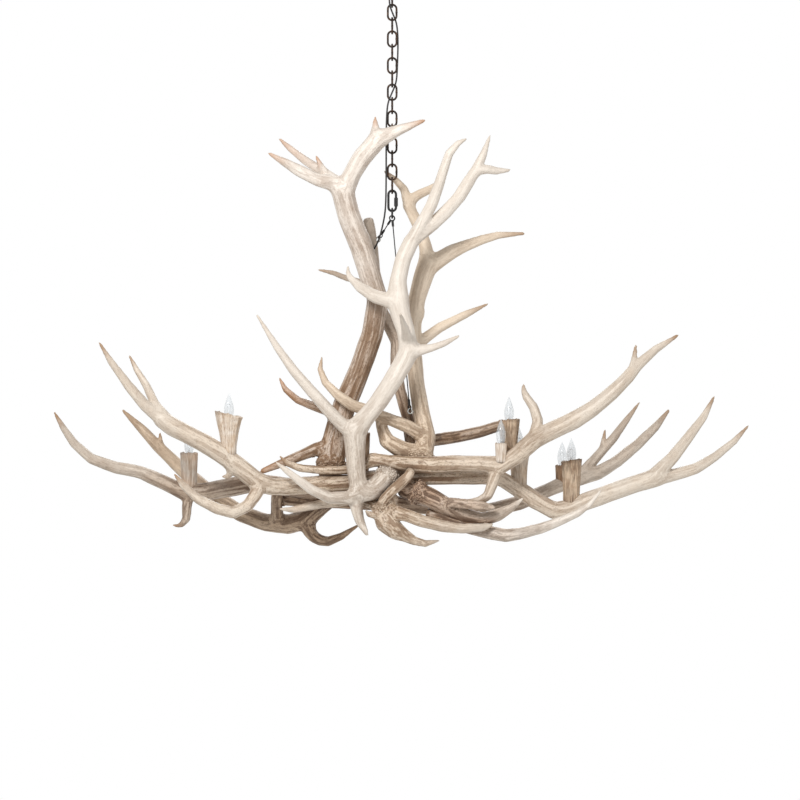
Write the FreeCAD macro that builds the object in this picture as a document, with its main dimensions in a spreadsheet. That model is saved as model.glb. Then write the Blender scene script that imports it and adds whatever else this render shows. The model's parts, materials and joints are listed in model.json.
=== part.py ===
"""Antler chandelier: shed antlers coped and screwed together round a hub, eight candle cups, bulbs,
and the chain, quick link, cables and canopy that hang it from a ceiling.

Millimetres. +Z is up, +X is to the right of someone who faces the lamp, +Y is away from them.
The origin is the middle of the ceiling strap's top face, flat against the ceiling.
"""
import FreeCAD
import Part
import math
import os

V = FreeCAD.Vector
os.makedirs("parts", exist_ok=True)
doc = FreeCAD.newDocument("AntlerChandelier")

# ---------------------------------------------------------------- driving sizes

sheet = doc.addObject("Spreadsheet::Sheet", "Sizes")

SIZES = {
    # ceiling fitting
    "strap_length": 100,
    "strap_width": 19,
    "strap_thickness": 2.5,
    "strap_hole_spacing": 70,
    "strap_hole_diameter": 5.2,
    "stem_diameter": 9.8,
    "stem_bore": 6.4,
    "locknut_diameter": 15,
    "locknut_height": 4,
    "canopy_diameter": 130,
    "canopy_depth": 32,
    "canopy_crown_diameter": 44,
    "canopy_wall": 1.5,
    "collar_diameter": 24,
    "collar_height": 9,
    "loop_bend": 26,
    "loop_wire": 5.6,
    "loop_boss_diameter": 18,
    "loop_boss_height": 7,
    "thread_clearance": 0.1,
    # chain
    "link_count": 15,
    "link_wire": 5.2,
    "link_width": 27,
    "link_length": 44,
    "chain_clearance": 0.35,
    # quick link, its sleeve and the ring
    "quick_wire": 6,
    "quick_width": 25,
    "quick_length": 57,
    "quick_gap": 7,
    "quick_thread": 4,
    "quick_clearance": 0.6,
    "sleeve_diameter": 10,
    "sleeve_length": 22,
    "sleeve_clearance": 0.3,
    "ring_wire": 5,
    "ring_bend": 23,
    # cables and the lamp cord
    "cable_diameter": 3.2,
    "cable_eye_bend": 13,
    "cable_eye_spacing": 7,
    "eye_clearance": 0.5,
    "ferrule_diameter": 6.4,
    "ferrule_length": 14,
    "anchor_eye_bend": 13,
    "anchor_eye_wire": 3.2,
    "anchor_shank_length": 24,
    "cord_diameter": 4.2,
    "cord_hole_clearance": 0.3,
    # antlers
    "hub_drop": 667,
    "burr_height": 14,
    "burr_lip": 9,
    "burr_pearl_depth": 4,
    "burr_pearls": 7,
    "tip_blunting": 0.45,
    "sweep_back": 0.1,
    "cluster_shift_x": -0.6,
    "cluster_shift_y": -1.1,
    # candle cups, sockets and bulbs
    "cup_bore": 24,
    "cup_lip": 2,
    "rim_raggedness": 2.5,
    "nipple_diameter": 9.5,
    "nipple_bore": 6,
    "socket_diameter": 22,
    "socket_height": 26,
    "socket_floor": 4,
    "socket_recess": 3,
    "bulb_base_diameter": 14,
    "bulb_diameter": 25,
    "bulb_length": 64,
    "bulb_clearance": 0.3,
}

for row, (alias, value) in enumerate(SIZES.items(), start=1):
    sheet.set(f"A{row}", alias)
    sheet.set(f"B{row}", str(value))
    sheet.setAlias(f"B{row}", alias)
doc.recompute()


def size(alias):
    return float(sheet.get(alias))


# ---------------------------------------------------------------- shapes that several pieces share

BEAM_SIDES = 7
TINE_SIDES = 5
WIRE_SIDES = 6
ROUND_SIDES = 8
DISH_SIDES = 30
TURN_PER_FACET = math.radians(38)
LONGEST_FACET = 150
UP = V(0, 0, 1)
RIGHT = V(1, 0, 0)
AWAY = V(0, 1, 0)


def ring(middle, way, side, widths):
    """Corners of a polygon square to way, one corner for each width across it, starting at side."""
    across = way.cross(side)
    corners = []
    for number, width in enumerate(widths):
        angle = 2 * math.pi * number / len(widths)
        spoke = side * math.cos(angle) + across * math.sin(angle)
        corners.append(middle + spoke * (width / 2))
    return corners


def square_to(way, like=None):
    """A direction square to way, near the direction like where one is given."""
    side = like or (V(0, 0, 1) if abs(way.z) < 0.8 else V(1, 0, 0))
    side = side - way * side.dot(way)
    side.normalize()
    return side


def flat_face(corners):
    return Part.Face(Part.makePolygon(corners + [corners[0]]))


def closed_solid(faces):
    solid = Part.makeSolid(Part.makeShell(faces))
    if solid.Volume < 0:
        solid.reverse()
    return solid


def facets_between(loops):
    """Flat three-sided facets between neighbouring polygons with as many corners each."""
    faces = []
    for low, high in zip(loops, loops[1:]):
        for here in range(len(low)):
            beside = (here + 1) % len(low)
            faces.append(flat_face([low[here], low[beside], high[beside]]))
            faces.append(flat_face([low[here], high[beside], high[here]]))
    return faces


def skin(loops):
    """A faceted loft through polygons, closed by a flat face at each end."""
    return closed_solid([flat_face(loops[0]), flat_face(loops[-1])] + facets_between(loops))


def about_hub(x, y, z):
    """A place in the cluster. Its outer ends sweep back, so that it hangs level under the chain."""
    back = size("cluster_shift_y") + size("sweep_back") * abs(x)
    return V(x + size("cluster_shift_x"), y + back, z)


def stations(points):
    """Places, directions and widths along a smooth curve through points of x, y, z and width."""
    places = [about_hub(*point[:3]) for point in points]
    curve = Part.BSplineCurve()
    curve.interpolate(places)
    knots = [curve.parameter(place) for place in places]
    found = []
    for start, end, here, there in zip(knots, knots[1:], points, points[1:]):
        bend = curve.tangent(start)[0].getAngle(curve.tangent(end)[0])
        run = curve.length(start, end)
        steps = max(1, math.ceil(bend / TURN_PER_FACET), math.ceil(run / LONGEST_FACET))
        for step in range(steps):
            share = step / steps
            at = start + (end - start) * share
            width = here[3] * (1 - share) + there[3] * share
            found.append((curve.value(at), curve.tangent(at)[0], width))
    found.append((places[-1], curve.tangent(knots[-1])[0], points[-1][3]))
    return found


def limb(points, sides, pointed=True):
    """A tapering solid along a smooth curve. A pointed one is rounded over within its last width."""
    found = stations(points)
    if pointed:
        end, way, width = found.pop()
        found.append((end - way * (width / 2), way, width))
        found.append((end, way, width * size("tip_blunting")))
    side = None
    loops = []
    for middle, way, width in found:
        side = square_to(way, side)
        loops.append(ring(middle, way, side, [width] * sides))
    return skin(loops)


def coronet(middle, way, beam_width):
    """The burr at an antler's foot: a flared collar with a pearled edge."""
    way.normalize()
    side = square_to(way)
    levels = ((-0.5, 0.0), (-0.15, 1.0), (0.2, 0.9), (0.5, 0.0))
    loops = []
    for along, flare in levels:
        pearl = beam_width + 2 * size("burr_lip") * flare
        dip = pearl - 2 * size("burr_pearl_depth") * flare
        centre = middle + way * (along * size("burr_height"))
        loops.append(ring(centre, way, side, [pearl, dip] * int(size("burr_pearls"))))
    return skin(loops)


def wire_loop(middle, outline, wire, sides=WIRE_SIDES):
    """A closed loop of few-sided wire along an outline of points."""
    count = len(outline)
    plane = (outline[1] - outline[0]).cross(outline[2] - outline[1])
    plane.normalize()
    loops = []
    for number in range(count):
        before = outline[number] - outline[number - 1]
        after = outline[(number + 1) % count] - outline[number]
        before.normalize()
        after.normalize()
        way = before + after
        way.normalize()
        outward = way.cross(plane)
        loops.append(ring(middle + outline[number], way, outward, [wire] * sides))
    return closed_solid(facets_between(loops + loops[:1]))


def oval(width, length, across, steps=4):
    """Outline of a link: two half circles and two straight sides. across is the way of its width."""
    radius = width / 2
    straight = length / 2 - radius
    points = []
    for end, first in ((1, 0), (-1, 180)):
        for step in range(steps + 1):
            angle = math.radians(first + 180 * step / steps)
            height = end * straight + radius * math.sin(angle)
            points.append(across * (radius * math.cos(angle)) + UP * height)
    return points


def circle(width, across, up=UP, steps=12):
    """Outline of a round eye. across and up span its plane."""
    points = []
    for step in range(steps):
        angle = 2 * math.pi * step / steps
        points.append(across * (width / 2 * math.cos(angle)) + up * (width / 2 * math.sin(angle)))
    return points


def rod(start, end, width, sides=WIRE_SIDES):
    """A straight few-sided rod between two points."""
    way = end - start
    way.normalize()
    side = square_to(way)
    return skin([ring(place, way, side, [width] * sides) for place in (start, end)])


pieces = {}


def piece(label, shape, place=None):
    """A sub-part whose shape is worked out here from the sheet's sizes."""
    feature = doc.addObject("Part::Feature", label)
    feature.Label = label
    feature.Shape = shape
    feature.Placement = FreeCAD.Placement(place or V(0, 0, 0), FreeCAD.Rotation())
    pieces[label] = feature
    return feature


def primitive(kind, name, place=(0, 0, 0), **expressions):
    """A primitive whose sizes are expressions on the sheet. place holds numbers or expressions."""
    feature = doc.addObject(kind, name)
    for prop, expression in expressions.items():
        feature.setExpression(prop, str(expression))
    for axis, amount in zip("xyz", place):
        feature.setExpression(f"Placement.Base.{axis}", str(amount))
    return feature


def cut(label, base, *tools):
    """The base with every tool taken out of it, as one sub-part."""
    tool = tools[0]
    if len(tools) > 1:
        tool = doc.addObject("Part::MultiFuse", f"{label}_tools")
        tool.Shapes = list(tools)
    feature = doc.addObject("Part::Cut", label)
    feature.Base = base
    feature.Tool = tool
    feature.Label = label
    return feature


# ---------------------------------------------------------------- ceiling strap, stem and locknut

strap_bar = primitive(
    "Part::Box",
    "strap_bar",
    ("-Sizes.strap_length / 2", "-Sizes.strap_width / 2", "-Sizes.strap_thickness"),
    Length="Sizes.strap_length",
    Width="Sizes.strap_width",
    Height="Sizes.strap_thickness",
)
strap_holes = [
    primitive(
        "Part::Cylinder",
        f"strap_hole_{name}",
        (f"{sign} * Sizes.strap_hole_spacing / 2", 0, "-2 * Sizes.strap_thickness"),
        Radius="Sizes.strap_hole_diameter / 2",
        Height="3 * Sizes.strap_thickness",
    )
    for name, sign in (("left", -1), ("right", 1))
]
strap_thread = primitive(
    "Part::Cylinder",
    "strap_thread",
    (0, 0, "-2 * Sizes.strap_thickness"),
    Radius="Sizes.stem_diameter / 2 + Sizes.thread_clearance",
    Height="3 * Sizes.strap_thickness",
)
pieces["ceiling_strap"] = cut("ceiling_strap", strap_bar, strap_thread, *strap_holes)

STEM_LENGTH = "Sizes.canopy_depth + Sizes.collar_height * 0.7"
stem_rod = primitive(
    "Part::Cylinder",
    "stem_rod",
    (0, 0, f"-({STEM_LENGTH})"),
    Radius="Sizes.stem_diameter / 2",
    Height=STEM_LENGTH,
)
stem_bore = primitive(
    "Part::Cylinder",
    "stem_hole",
    (0, 0, f"-({STEM_LENGTH}) - 1"),
    Radius="Sizes.stem_bore / 2",
    Height=f"{STEM_LENGTH} + 2",
)
pieces["threaded_stem"] = cut("threaded_stem", stem_rod, stem_bore)

locknut_blank = primitive(
    "Part::Prism",
    "locknut_blank",
    (0, 0, "-Sizes.strap_thickness - Sizes.locknut_height"),
    Circumradius="Sizes.locknut_diameter / 2",
    Height="Sizes.locknut_height",
)
locknut_thread = primitive(
    "Part::Cylinder",
    "locknut_thread",
    (0, 0, "-Sizes.strap_thickness - 2 * Sizes.locknut_height"),
    Radius="Sizes.stem_diameter / 2 + Sizes.thread_clearance",
    Height="3 * Sizes.locknut_height",
)
pieces["stem_locknut"] = cut("stem_locknut", locknut_blank, locknut_thread)

# ---------------------------------------------------------------- canopy: a spun dish, open at the ceiling


CANOPY_STEPS = 4


def canopy():
    """The dish: its half section, outside then inside, turned in steps round the stem."""
    rim = size("canopy_diameter") / 2
    crown = size("canopy_crown_diameter") / 2
    depth = size("canopy_depth")
    wall = size("canopy_wall")
    hole = size("stem_diameter") / 2 + size("chain_clearance")
    lip = 5
    shoulder = V(crown + 0.55 * (rim - crown), 0, -0.72 * depth)
    inner_shoulder = V(shoulder.x - 0.6 * wall, 0, shoulder.z + 0.8 * wall)
    outer_bend = Part.Arc(V(rim, 0, -lip), shoulder, V(crown, 0, -depth))
    inner_bend = Part.Arc(V(crown, 0, -depth + wall), inner_shoulder, V(rim - wall, 0, -lip))
    outside = [V(rim, 0, 0)] + outer_bend.toShape().discretize(CANOPY_STEPS) + [V(hole, 0, -depth)]
    inside = [V(hole, 0, -depth + wall)] + inner_bend.toShape().discretize(CANOPY_STEPS)
    section = outside + inside + [V(rim - wall, 0, 0)]
    loops = []
    for step in range(DISH_SIDES):
        turn = FreeCAD.Rotation(UP, 360 * step / DISH_SIDES)
        loops.append([turn.multVec(corner) for corner in section])
    return closed_solid(facets_between(loops + loops[:1]))


piece("canopy", canopy())

# ---------------------------------------------------------------- collar loop under the canopy


def collar_loop():
    """The screw collar that clamps the canopy, with the loop that the chain hangs on."""
    top = -size("canopy_depth")
    boss_top = top - size("collar_height")
    boss_foot = boss_top - size("loop_boss_height")
    thread_foot = top - 0.7 * size("collar_height") - size("chain_clearance")
    mouth = boss_foot - 1
    collar = rod(V(0, 0, boss_top), V(0, 0, top), size("collar_diameter"), ROUND_SIDES)
    boss = rod(V(0, 0, boss_foot), V(0, 0, boss_top), size("loop_boss_diameter"), ROUND_SIDES)
    loop = wire_loop(V(0, 0, loop_middle_z()), circle(size("loop_bend"), RIGHT), size("loop_wire"))
    thread_width = size("stem_diameter") + 2 * size("thread_clearance")
    thread = Part.makeCylinder(thread_width / 2, top - thread_foot, V(0, 0, thread_foot))
    cord_way = Part.makeCylinder(size("stem_bore") / 2, top - mouth, V(0, 0, mouth))
    return collar.fuse([boss, loop]).cut(thread).cut(cord_way)


def loop_middle_z():
    below_collar = -size("canopy_depth") - size("collar_height")
    return below_collar - size("loop_bend") / 2 - size("loop_wire") / 2 + 2


piece("collar_loop", collar_loop())

# ---------------------------------------------------------------- chain

LINK_INNER = size("link_length") - 2 * size("link_wire")
PITCH = LINK_INNER - size("chain_clearance")
LOOP_SEAT_Z = loop_middle_z() - size("loop_bend") / 2 + size("loop_wire") / 2
FIRST_LINK_Z = LOOP_SEAT_Z + size("chain_clearance") - LINK_INNER / 2


def link_z(number):
    """Height of a link's middle. Links are numbered from 1, at the ceiling."""
    return FIRST_LINK_Z - PITCH * (number - 1)


LINKS = int(size("link_count"))
LINK_BEND = (size("link_width") - size("link_wire"), size("link_length") - size("link_wire"))
for number in range(1, LINKS + 1):
    # odd links stand edge-on to the viewer and even ones face them
    across = AWAY if number % 2 else RIGHT
    link = wire_loop(V(0, 0, 0), oval(*LINK_BEND, across), size("link_wire"))
    piece(f"chain_link_{number:02d}", link, UP * link_z(number))

# ---------------------------------------------------------------- quick link, sleeve and ring

QUICK_INNER = size("quick_length") - 2 * size("quick_wire")
QUICK_Z = link_z(LINKS) - LINK_INNER / 2 + size("quick_clearance") - QUICK_INNER / 2
QUICK_BEND = (size("quick_width") - size("quick_wire"), size("quick_length") - size("quick_wire"))
QUICK_STRAIGHT = (QUICK_BEND[1] - QUICK_BEND[0]) / 2
QUICK_GAP_Z = -QUICK_STRAIGHT + size("quick_thread") + size("quick_gap") / 2
SLEEVE_X = QUICK_BEND[0] / 2
SLEEVE_Z = -QUICK_STRAIGHT + size("quick_thread") / 2 + size("sleeve_length") / 2


def quick_link():
    """A long link with a gap low in its right side. The sleeve closes it, and opens it from above."""
    link = wire_loop(V(0, 0, 0), oval(*QUICK_BEND, RIGHT), size("quick_wire"), sides=12)
    reach = size("quick_wire") * 2
    corner = V(SLEEVE_X - reach / 2, -reach / 2, QUICK_GAP_Z - size("quick_gap") / 2)
    return link.cut(Part.makeBox(reach, reach, size("quick_gap"), corner))


def sleeve():
    """The six-sided nut sleeve on the quick link's thread."""
    length = size("sleeve_length")
    nut = rod(UP * (-length / 2), UP * (length / 2), size("sleeve_diameter"), sides=6)
    bore_radius = size("quick_wire") / 2 + size("sleeve_clearance")
    return nut.cut(Part.makeCylinder(bore_radius, length + 2, UP * (-length / 2 - 1)))


piece("quick_link", quick_link(), V(0, 0, QUICK_Z))
piece("quick_link_sleeve", sleeve(), V(SLEEVE_X, 0, QUICK_Z + SLEEVE_Z))

RING_INNER = size("ring_bend") - size("ring_wire")
RING_Z = QUICK_Z - QUICK_INNER / 2 + size("quick_clearance") - RING_INNER / 2
piece(
    "hanging_ring",
    wire_loop(V(0, 0, 0), circle(size("ring_bend"), AWAY), size("ring_wire")),
    V(0, 0, RING_Z),
)

# ---------------------------------------------------------------- antlers
# Every antler is given about the hub: the middle of the lamp, under the chain. A row is x, y, z and the
# width there. The beam's first row is its foot; burr is the row that carries the coronet.

HUB_Z = RING_Z - size("hub_drop")

ANTLERS = {
    "antler_left_upright": {
        "beam": [
            (-156, -36, 2, 52),
            (-152, -32, 40, 62),
            (-142, -22, 100, 62),
            (-118, -10, 190, 55),
            (-82, -2, 272, 52),
            (-50, 0, 362, 51),
            (-36, -2, 450, 51),
            (-75, -14, 578, 54),
            (-108, -30, 660, 54),
            (-126, -42, 732, 56),
        ],
        "burr": 1,
        "tines": [
            # the two long tines on the left, with the spur between them
            [
                (-120, -38, 715, 48), (-150, -48, 740, 38), (-185, -54, 748, 33), (-230, -62, 770, 30),
                (-268, -70, 792, 20), (-308, -76, 815, 7),
            ],
            [
                (-132, -38, 735, 40), (-178, -24, 772, 24), (-218, -8, 800, 20), (-255, 4, 830, 15),
                (-283, 10, 856, 6),
            ],
            [(-170, -34, 770, 20), (-190, -36, 810, 5)],
            # the branch to the right, which passes in front of the chain
            [
                (-122, -38, 715, 50), (-100, -46, 762, 46), (-72, -54, 808, 48), (-36, -60, 848, 48),
                (20, -66, 872, 25), (82, -70, 896, 8),
            ],
            [(-40, -58, 845, 34), (-42, -60, 905, 5)],
            # the brow tine, low on the left
            [
                (-148, -28, 80, 44), (-190, -36, 76, 34), (-230, -52, 60, 27), (-275, -78, 42, 20),
                (-325, -112, 22, 14),
            ],
            [
                (-135, -18, 140, 30), (-160, -22, 172, 24), (-198, -28, 185, 22), (-236, -32, 200, 18),
                (-266, -34, 226, 14), (-281, -36, 256, 5),
            ],
        ],
    },
    "antler_front_upright": {
        "beam": [
            (0, -50, 30, 40),
            (-10, -56, 14, 50),
            (-32, -70, -12, 50),
            (-62, -84, -28, 48),
            (-84, -92, -12, 46),
            (-89, -97, 30, 44),
            (-91, -102, 80, 48),
            (-92, -108, 125, 56),
            (-66, -110, 155, 44),
            (-35, -110, 192, 42),
            (-2, -106, 242, 44),
            (26, -100, 288, 46),
            (42, -96, 325, 48),
            (34, -90, 372, 42),
            (22, -84, 412, 46),
            (14, -80, 452, 52),
            (15, -75, 495, 40),
            (28, -70, 552, 38),
            (50, -68, 598, 38),
        ],
        "burr": 1,
        "tines": [
            # the long tine on the left
            [
                (-90, -106, 118, 44), (-122, -120, 138, 34), (-155, -138, 172, 32),
                (-198, -158, 220, 28), (-240, -174, 270, 24), (-280, -186, 326, 18),
                (-333, -198, 411, 5),
            ],
            # the tine on the right and the one that points at the viewer
            [(38, -98, 318, 36), (98, -108, 329, 18), (130, -112, 340, 15), (168, -116, 360, 6)],
            [(38, -102, 345, 28), (34, -150, 372, 20), (20, -215, 412, 6)],
            # the tine on the left, halfway up
            [
                (16, -80, 440, 40), (-40, -88, 455, 34), (-80, -94, 480, 24), (-105, -98, 505, 15),
                (-108, -100, 532, 5),
            ],
            # the two top prongs
            [
                (45, -69, 590, 34), (72, -72, 635, 32), (98, -76, 685, 28), (115, -80, 730, 26),
                (128, -84, 772, 24), (142, -88, 812, 20), (165, -90, 838, 14), (186, -90, 848, 6),
            ],
            [
                (45, -68, 590, 34), (98, -62, 635, 33), (135, -58, 668, 32), (168, -52, 705, 32),
                (192, -46, 745, 30), (210, -42, 775, 26), (228, -38, 812, 18), (245, -34, 862, 5),
            ],
            [(200, -44, 758, 24), (238, -40, 776, 22), (262, -36, 772, 18), (295, -32, 776, 8)],
            # the white tine at the bottom left and the stub that points down
            [
                (-74, -90, -20, 44), (-105, -108, -42, 34), (-155, -132, -42, 28),
                (-198, -152, -22, 24), (-230, -166, 2, 20), (-262, -176, 28, 14), (-286, -182, 47, 5),
            ],
            [(-78, -90, -22, 40), (-90, -92, -62, 32), (-80, -94, -100, 24), (-60, -96, -135, 10)],
        ],
    },
    "antler_right_upright": {
        "beam": [
            (70, -34, 24, 44),
            (76, -28, 56, 50),
            (86, -8, 108, 44),
            (73, 6, 165, 40),
            (62, 18, 238, 37),
            (53, 28, 340, 36),
            (54, 32, 395, 38),
            (62, 36, 452, 42),
            (80, 40, 515, 46),
            (96, 42, 556, 50),
        ],
        "burr": 1,
        "tines": [
            # the branch that goes on up and forks near the chain
            [
                (92, 42, 540, 42), (84, 42, 585, 32), (66, 44, 638, 30), (49, 48, 672, 28),
                (42, 52, 705, 34),
            ],
            [
                (43, 51, 690, 28), (30, 56, 730, 20), (10, 60, 752, 16), (-5, 62, 764, 12),
                (-19, 64, 776, 6),
            ],
            [(43, 51, 692, 28), (70, 54, 718, 22), (98, 56, 731, 20), (116, 57, 750, 8)],
            # the long tine on the right
            [
                (86, 41, 530, 44), (118, 44, 552, 42), (150, 46, 572, 36), (186, 48, 588, 30),
                (226, 50, 603, 24), (268, 52, 615, 18), (334, 56, 619, 7),
            ],
            # the brow tine and the thick one under it
            [
                (80, -14, 108, 36), (40, -34, 134, 32), (-2, -50, 150, 30), (-58, -60, 172, 30),
                (-98, -66, 186, 28), (-135, -68, 212, 24), (-166, -66, 244, 18), (-179, -62, 277, 13),
                (-173, -58, 308, 5),
            ],
            [
                (72, -26, 62, 44), (22, -40, 76, 44), (-14, -46, 98, 40), (-28, -44, 140, 26),
                (-32, -40, 206, 7),
            ],
            # the tine that goes off behind the front upright, and a spur
            [(55, 26, 335, 30), (120, 50, 382, 24), (186, 66, 416, 18), (243, 78, 443, 5)],
            [(58, 26, 395, 24), (74, 22, 415, 18), (80, 20, 432, 6)],
        ],
    },
    "antler_rear_upright": {
        "beam": [
            (62, 34, 28, 42),
            (54, 40, 80, 38),
            (38, 44, 162, 28),
            (20, 48, 225, 26),
            (10, 52, 288, 27),
            (12, 54, 345, 29),
            (-6, 52, 385, 31),
            (-32, 46, 430, 33),
            (-44, 44, 490, 34),
            (-50, 46, 560, 30),
            (-56, 50, 620, 31),
            (-60, 52, 656, 26),
        ],
        "burr": None,
        "tines": [
            # the tine on the left, behind the left upright
            [
                (-42, 44, 470, 24), (-72, 56, 494, 16), (-118, 62, 508, 14), (-148, 62, 520, 12),
                (-187, 62, 528, 5),
            ],
            # the dark branch on the right, which carries a candle cup's back
            [
                (52, 42, 92, 34), (102, 58, 98, 32), (170, 72, 108, 30), (222, 66, 119, 28),
                (262, 48, 132, 27), (292, 22, 142, 22),
            ],
        ],
    },
    "antler_left_front": {
        "beam": [
            (-24, -36, 4, 44),
            (-60, -44, 0, 42),
            (-100, -52, -6, 40),
            (-165, -72, -9, 40),
            (-258, -110, -16, 41),
            (-300, -130, -14, 42),
            (-338, -148, 2, 44),
            (-380, -162, 36, 45),
            (-422, -176, 68, 44),
            (-462, -190, 93, 43),
            (-504, -202, 115, 42),
            (-545, -212, 138, 44),
            (-572, -218, 156, 40),
        ],
        "burr": None,
        "tines": [
            [
                (-560, -214, 148, 38), (-606, -232, 186, 28), (-646, -246, 234, 23),
                (-688, -260, 292, 16), (-718, -270, 342, 5),
            ],
            [
                (-555, -214, 148, 36), (-585, -212, 192, 22), (-605, -206, 235, 19),
                (-630, -200, 275, 14), (-648, -194, 310, 5),
            ],
            # the white brow tine, which curls under and back up
            [
                (-326, -142, -6, 36), (-338, -162, -36, 33), (-356, -182, -62, 30),
                (-390, -198, -78, 30), (-430, -212, -68, 28), (-476, -224, -44, 23),
                (-512, -232, -10, 17), (-534, -236, 18, 6),
            ],
            [(-400, -166, 44, 20), (-408, -160, 10, 12), (-420, -156, 12, 5)],
        ],
    },
    "antler_left_rear_ring": {
        "beam": [
            (-42, 4, -14, 44),
            (-90, -6, -18, 44),
            (-140, -10, -24, 44),
            (-220, -10, -22, 43),
            (-300, -6, -12, 42),
            (-358, 2, -9, 45),
            (-402, 8, -18, 45),
            (-465, 12, -30, 42),
            (-528, 8, -30, 38),
            (-582, 0, -4, 34),
            (-630, -8, 18, 31),
            (-692, -16, 30, 29),
            (-755, -24, 52, 25),
            (-798, -32, 90, 20),
            (-825, -38, 130, 15),
            (-848, -44, 170, 5),
        ],
        "burr": None,
        "tip": True,
        "tines": [
            [
                (-512, 8, -34, 32), (-516, 12, -70, 25), (-518, 14, -100, 20), (-530, 15, -114, 13),
                (-552, 15, -113, 5),
            ],
        ],
    },
    "antler_left_back": {
        "beam": [
            (66, 20, 10, 38),
            (0, 30, 2, 38),
            (-60, 52, -12, 38),
            (-150, 88, -44, 40),
            (-222, 112, -104, 48),
            (-262, 128, -116, 46),
            (-320, 152, -112, 42),
            (-382, 180, -92, 40),
            (-445, 212, -54, 38),
            (-535, 252, 16, 34),
            (-562, 268, 40, 32),
            (-604, 288, 80, 28),
            (-650, 306, 127, 22),
            (-700, 326, 174, 6),
        ],
        "burr": None,
        "tip": True,
        "tines": [
            # the curl under the hub, the stub that props the ring and a spur
            [
                (-214, 110, -110, 40), (-198, 108, -146, 30), (-162, 104, -158, 25),
                (-128, 100, -144, 18), (-84, 96, -116, 6),
            ],
            [(-292, 138, -104, 34), (-292, 90, -74, 30), (-290, 46, -48, 28), (-286, 16, -28, 26)],
            [(-596, 284, 72, 20), (-600, 292, 116, 5)],
        ],
    },
    "antler_right_front": {
        "beam": [
            (-58, -62, 54, 30),
            (0, -62, 44, 36),
            (50, -60, 40, 38),
            (95, -60, 38, 40),
            (150, -64, 41, 40),
            (220, -72, 41, 40),
            (272, -82, 38, 42),
            (308, -92, 60, 42),
            (352, -106, 100, 43),
            (400, -120, 125, 43),
            (448, -134, 148, 42),
            (496, -144, 177, 38),
            (544, -154, 217, 34),
            (584, -160, 256, 30),
            (608, -165, 286, 26),
            (654, -172, 326, 18),
            (709, -180, 361, 6),
        ],
        "burr": None,
        "tip": True,
        "tines": [
            [
                (356, -106, 104, 36), (362, -98, 150, 26), (352, -92, 182, 23), (334, -86, 208, 20),
                (328, -82, 240, 6),
            ],
            [(596, -162, 270, 22), (603, -176, 336, 6)],
            # the hook under the beam
            [
                (262, -80, 30, 34), (250, -88, -8, 28), (238, -90, -38, 24), (218, -88, -50, 21),
                (176, -82, -50, 10),
            ],
            # the brow tine that runs left, just over the ring
            [
                (-30, -62, 50, 26), (-74, -60, 37, 24), (-110, -68, 26, 22), (-168, -88, 25, 20),
                (-228, -104, 31, 18), (-260, -112, 43, 14), (-277, -116, 61, 5),
            ],
        ],
    },
    "antler_right_middle": {
        "beam": [
            (20, -46, -16, 44),
            (62, -52, -30, 50),
            (105, -58, -48, 48),
            (148, -62, -72, 42),
            (186, -66, -90, 37),
            (225, -70, -98, 34),
            (264, -76, -86, 28),
            (298, -82, -68, 18),
            (326, -88, -44, 5),
        ],
        "burr": 1,
        "tip": True,
        "tines": [
            [
                (128, -64, -58, 30), (152, -90, -56, 25), (185, -108, -58, 24), (225, -114, -63, 22),
                (256, -116, -68, 12),
            ],
        ],
    },
    "antler_right_long": {
        "beam": [
            (-12, -18, 4, 40),
            (60, -20, 8, 40),
            (150, -18, 10, 40),
            (230, -8, 8, 38),
            (270, 0, 5, 38),
            (318, 6, -24, 40),
            (360, 4, -52, 42),
            (408, -4, -78, 43),
            (445, -10, -72, 44),
            (482, -16, -56, 42),
            (540, -24, -35, 41),
            (612, -34, -10, 42),
            (668, -40, 8, 44),
        ],
        "burr": None,
        "tines": [
            [
                (650, -38, 2, 40), (702, -50, 54, 30), (742, -62, 106, 26), (780, -72, 158, 18),
                (806, -80, 210, 6),
            ],
            [
                (650, -38, 2, 40), (710, -36, 12, 31), (762, -30, 27, 28), (812, -22, 57, 22),
                (862, -14, 97, 16), (898, -8, 136, 5),
            ],
        ],
    },
    "antler_right_low": {
        "beam": [
            (88, -42, -84, 32),
            (130, -52, -94, 32),
            (178, -66, -112, 32),
            (220, -80, -124, 32),
            (248, -88, -131, 32),
            (284, -98, -137, 31),
            (322, -106, -131, 28),
            (372, -114, -118, 24),
            (422, -122, -99, 19),
            (460, -126, -82, 16),
            (490, -128, -60, 12),
            (520, -130, -22, 4),
        ],
        "burr": None,
        "tip": True,
        "tines": [],
    },
    "antler_right_back": {
        "beam": [
            (-282, 74, -49, 30),
            (-190, 66, -55, 34),
            (-100, 60, -56, 36),
            (0, 66, -60, 38),
            (120, 84, -74, 36),
            (245, 112, -80, 34),
            (322, 138, -62, 34),
            (424, 176, -19, 34),
            (484, 202, 0, 34),
            (526, 220, 12, 33),
            (578, 246, 42, 30),
            (632, 270, 84, 26),
            (682, 292, 132, 20),
            (718, 306, 176, 6),
        ],
        "burr": 0,
        "tip": True,
        "tines": [
            [
                (470, 196, -4, 30), (500, 224, 26, 27), (528, 246, 56, 26), (570, 268, 102, 22),
                (604, 286, 147, 16), (640, 302, 194, 5),
            ],
            [(540, 252, 68, 18), (548, 262, 124, 5)],
        ],
    },
    "antler_bottom": {
        "beam": [
            (0, -62, -32, 40),
            (-16, -68, -74, 44),
            (-14, -74, -104, 54),
            (10, -76, -124, 44),
            (34, -74, -138, 28),
            (56, -72, -150, 20),
            (84, -70, -157, 15),
            (118, -68, -148, 5),
        ],
        "burr": 1,
        "tip": True,
        "tines": [
            # the strut that rises to the right front antler
            [(-22, -78, -74, 26), (-22, -96, -48, 24), (6, -98, -20, 25), (44, -80, 30, 27)],
            [(-24, -78, -76, 24), (-56, -92, -84, 14), (-66, -96, -72, 5)],
            # the long light tine on the right and the pale one on the left
            [
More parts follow.
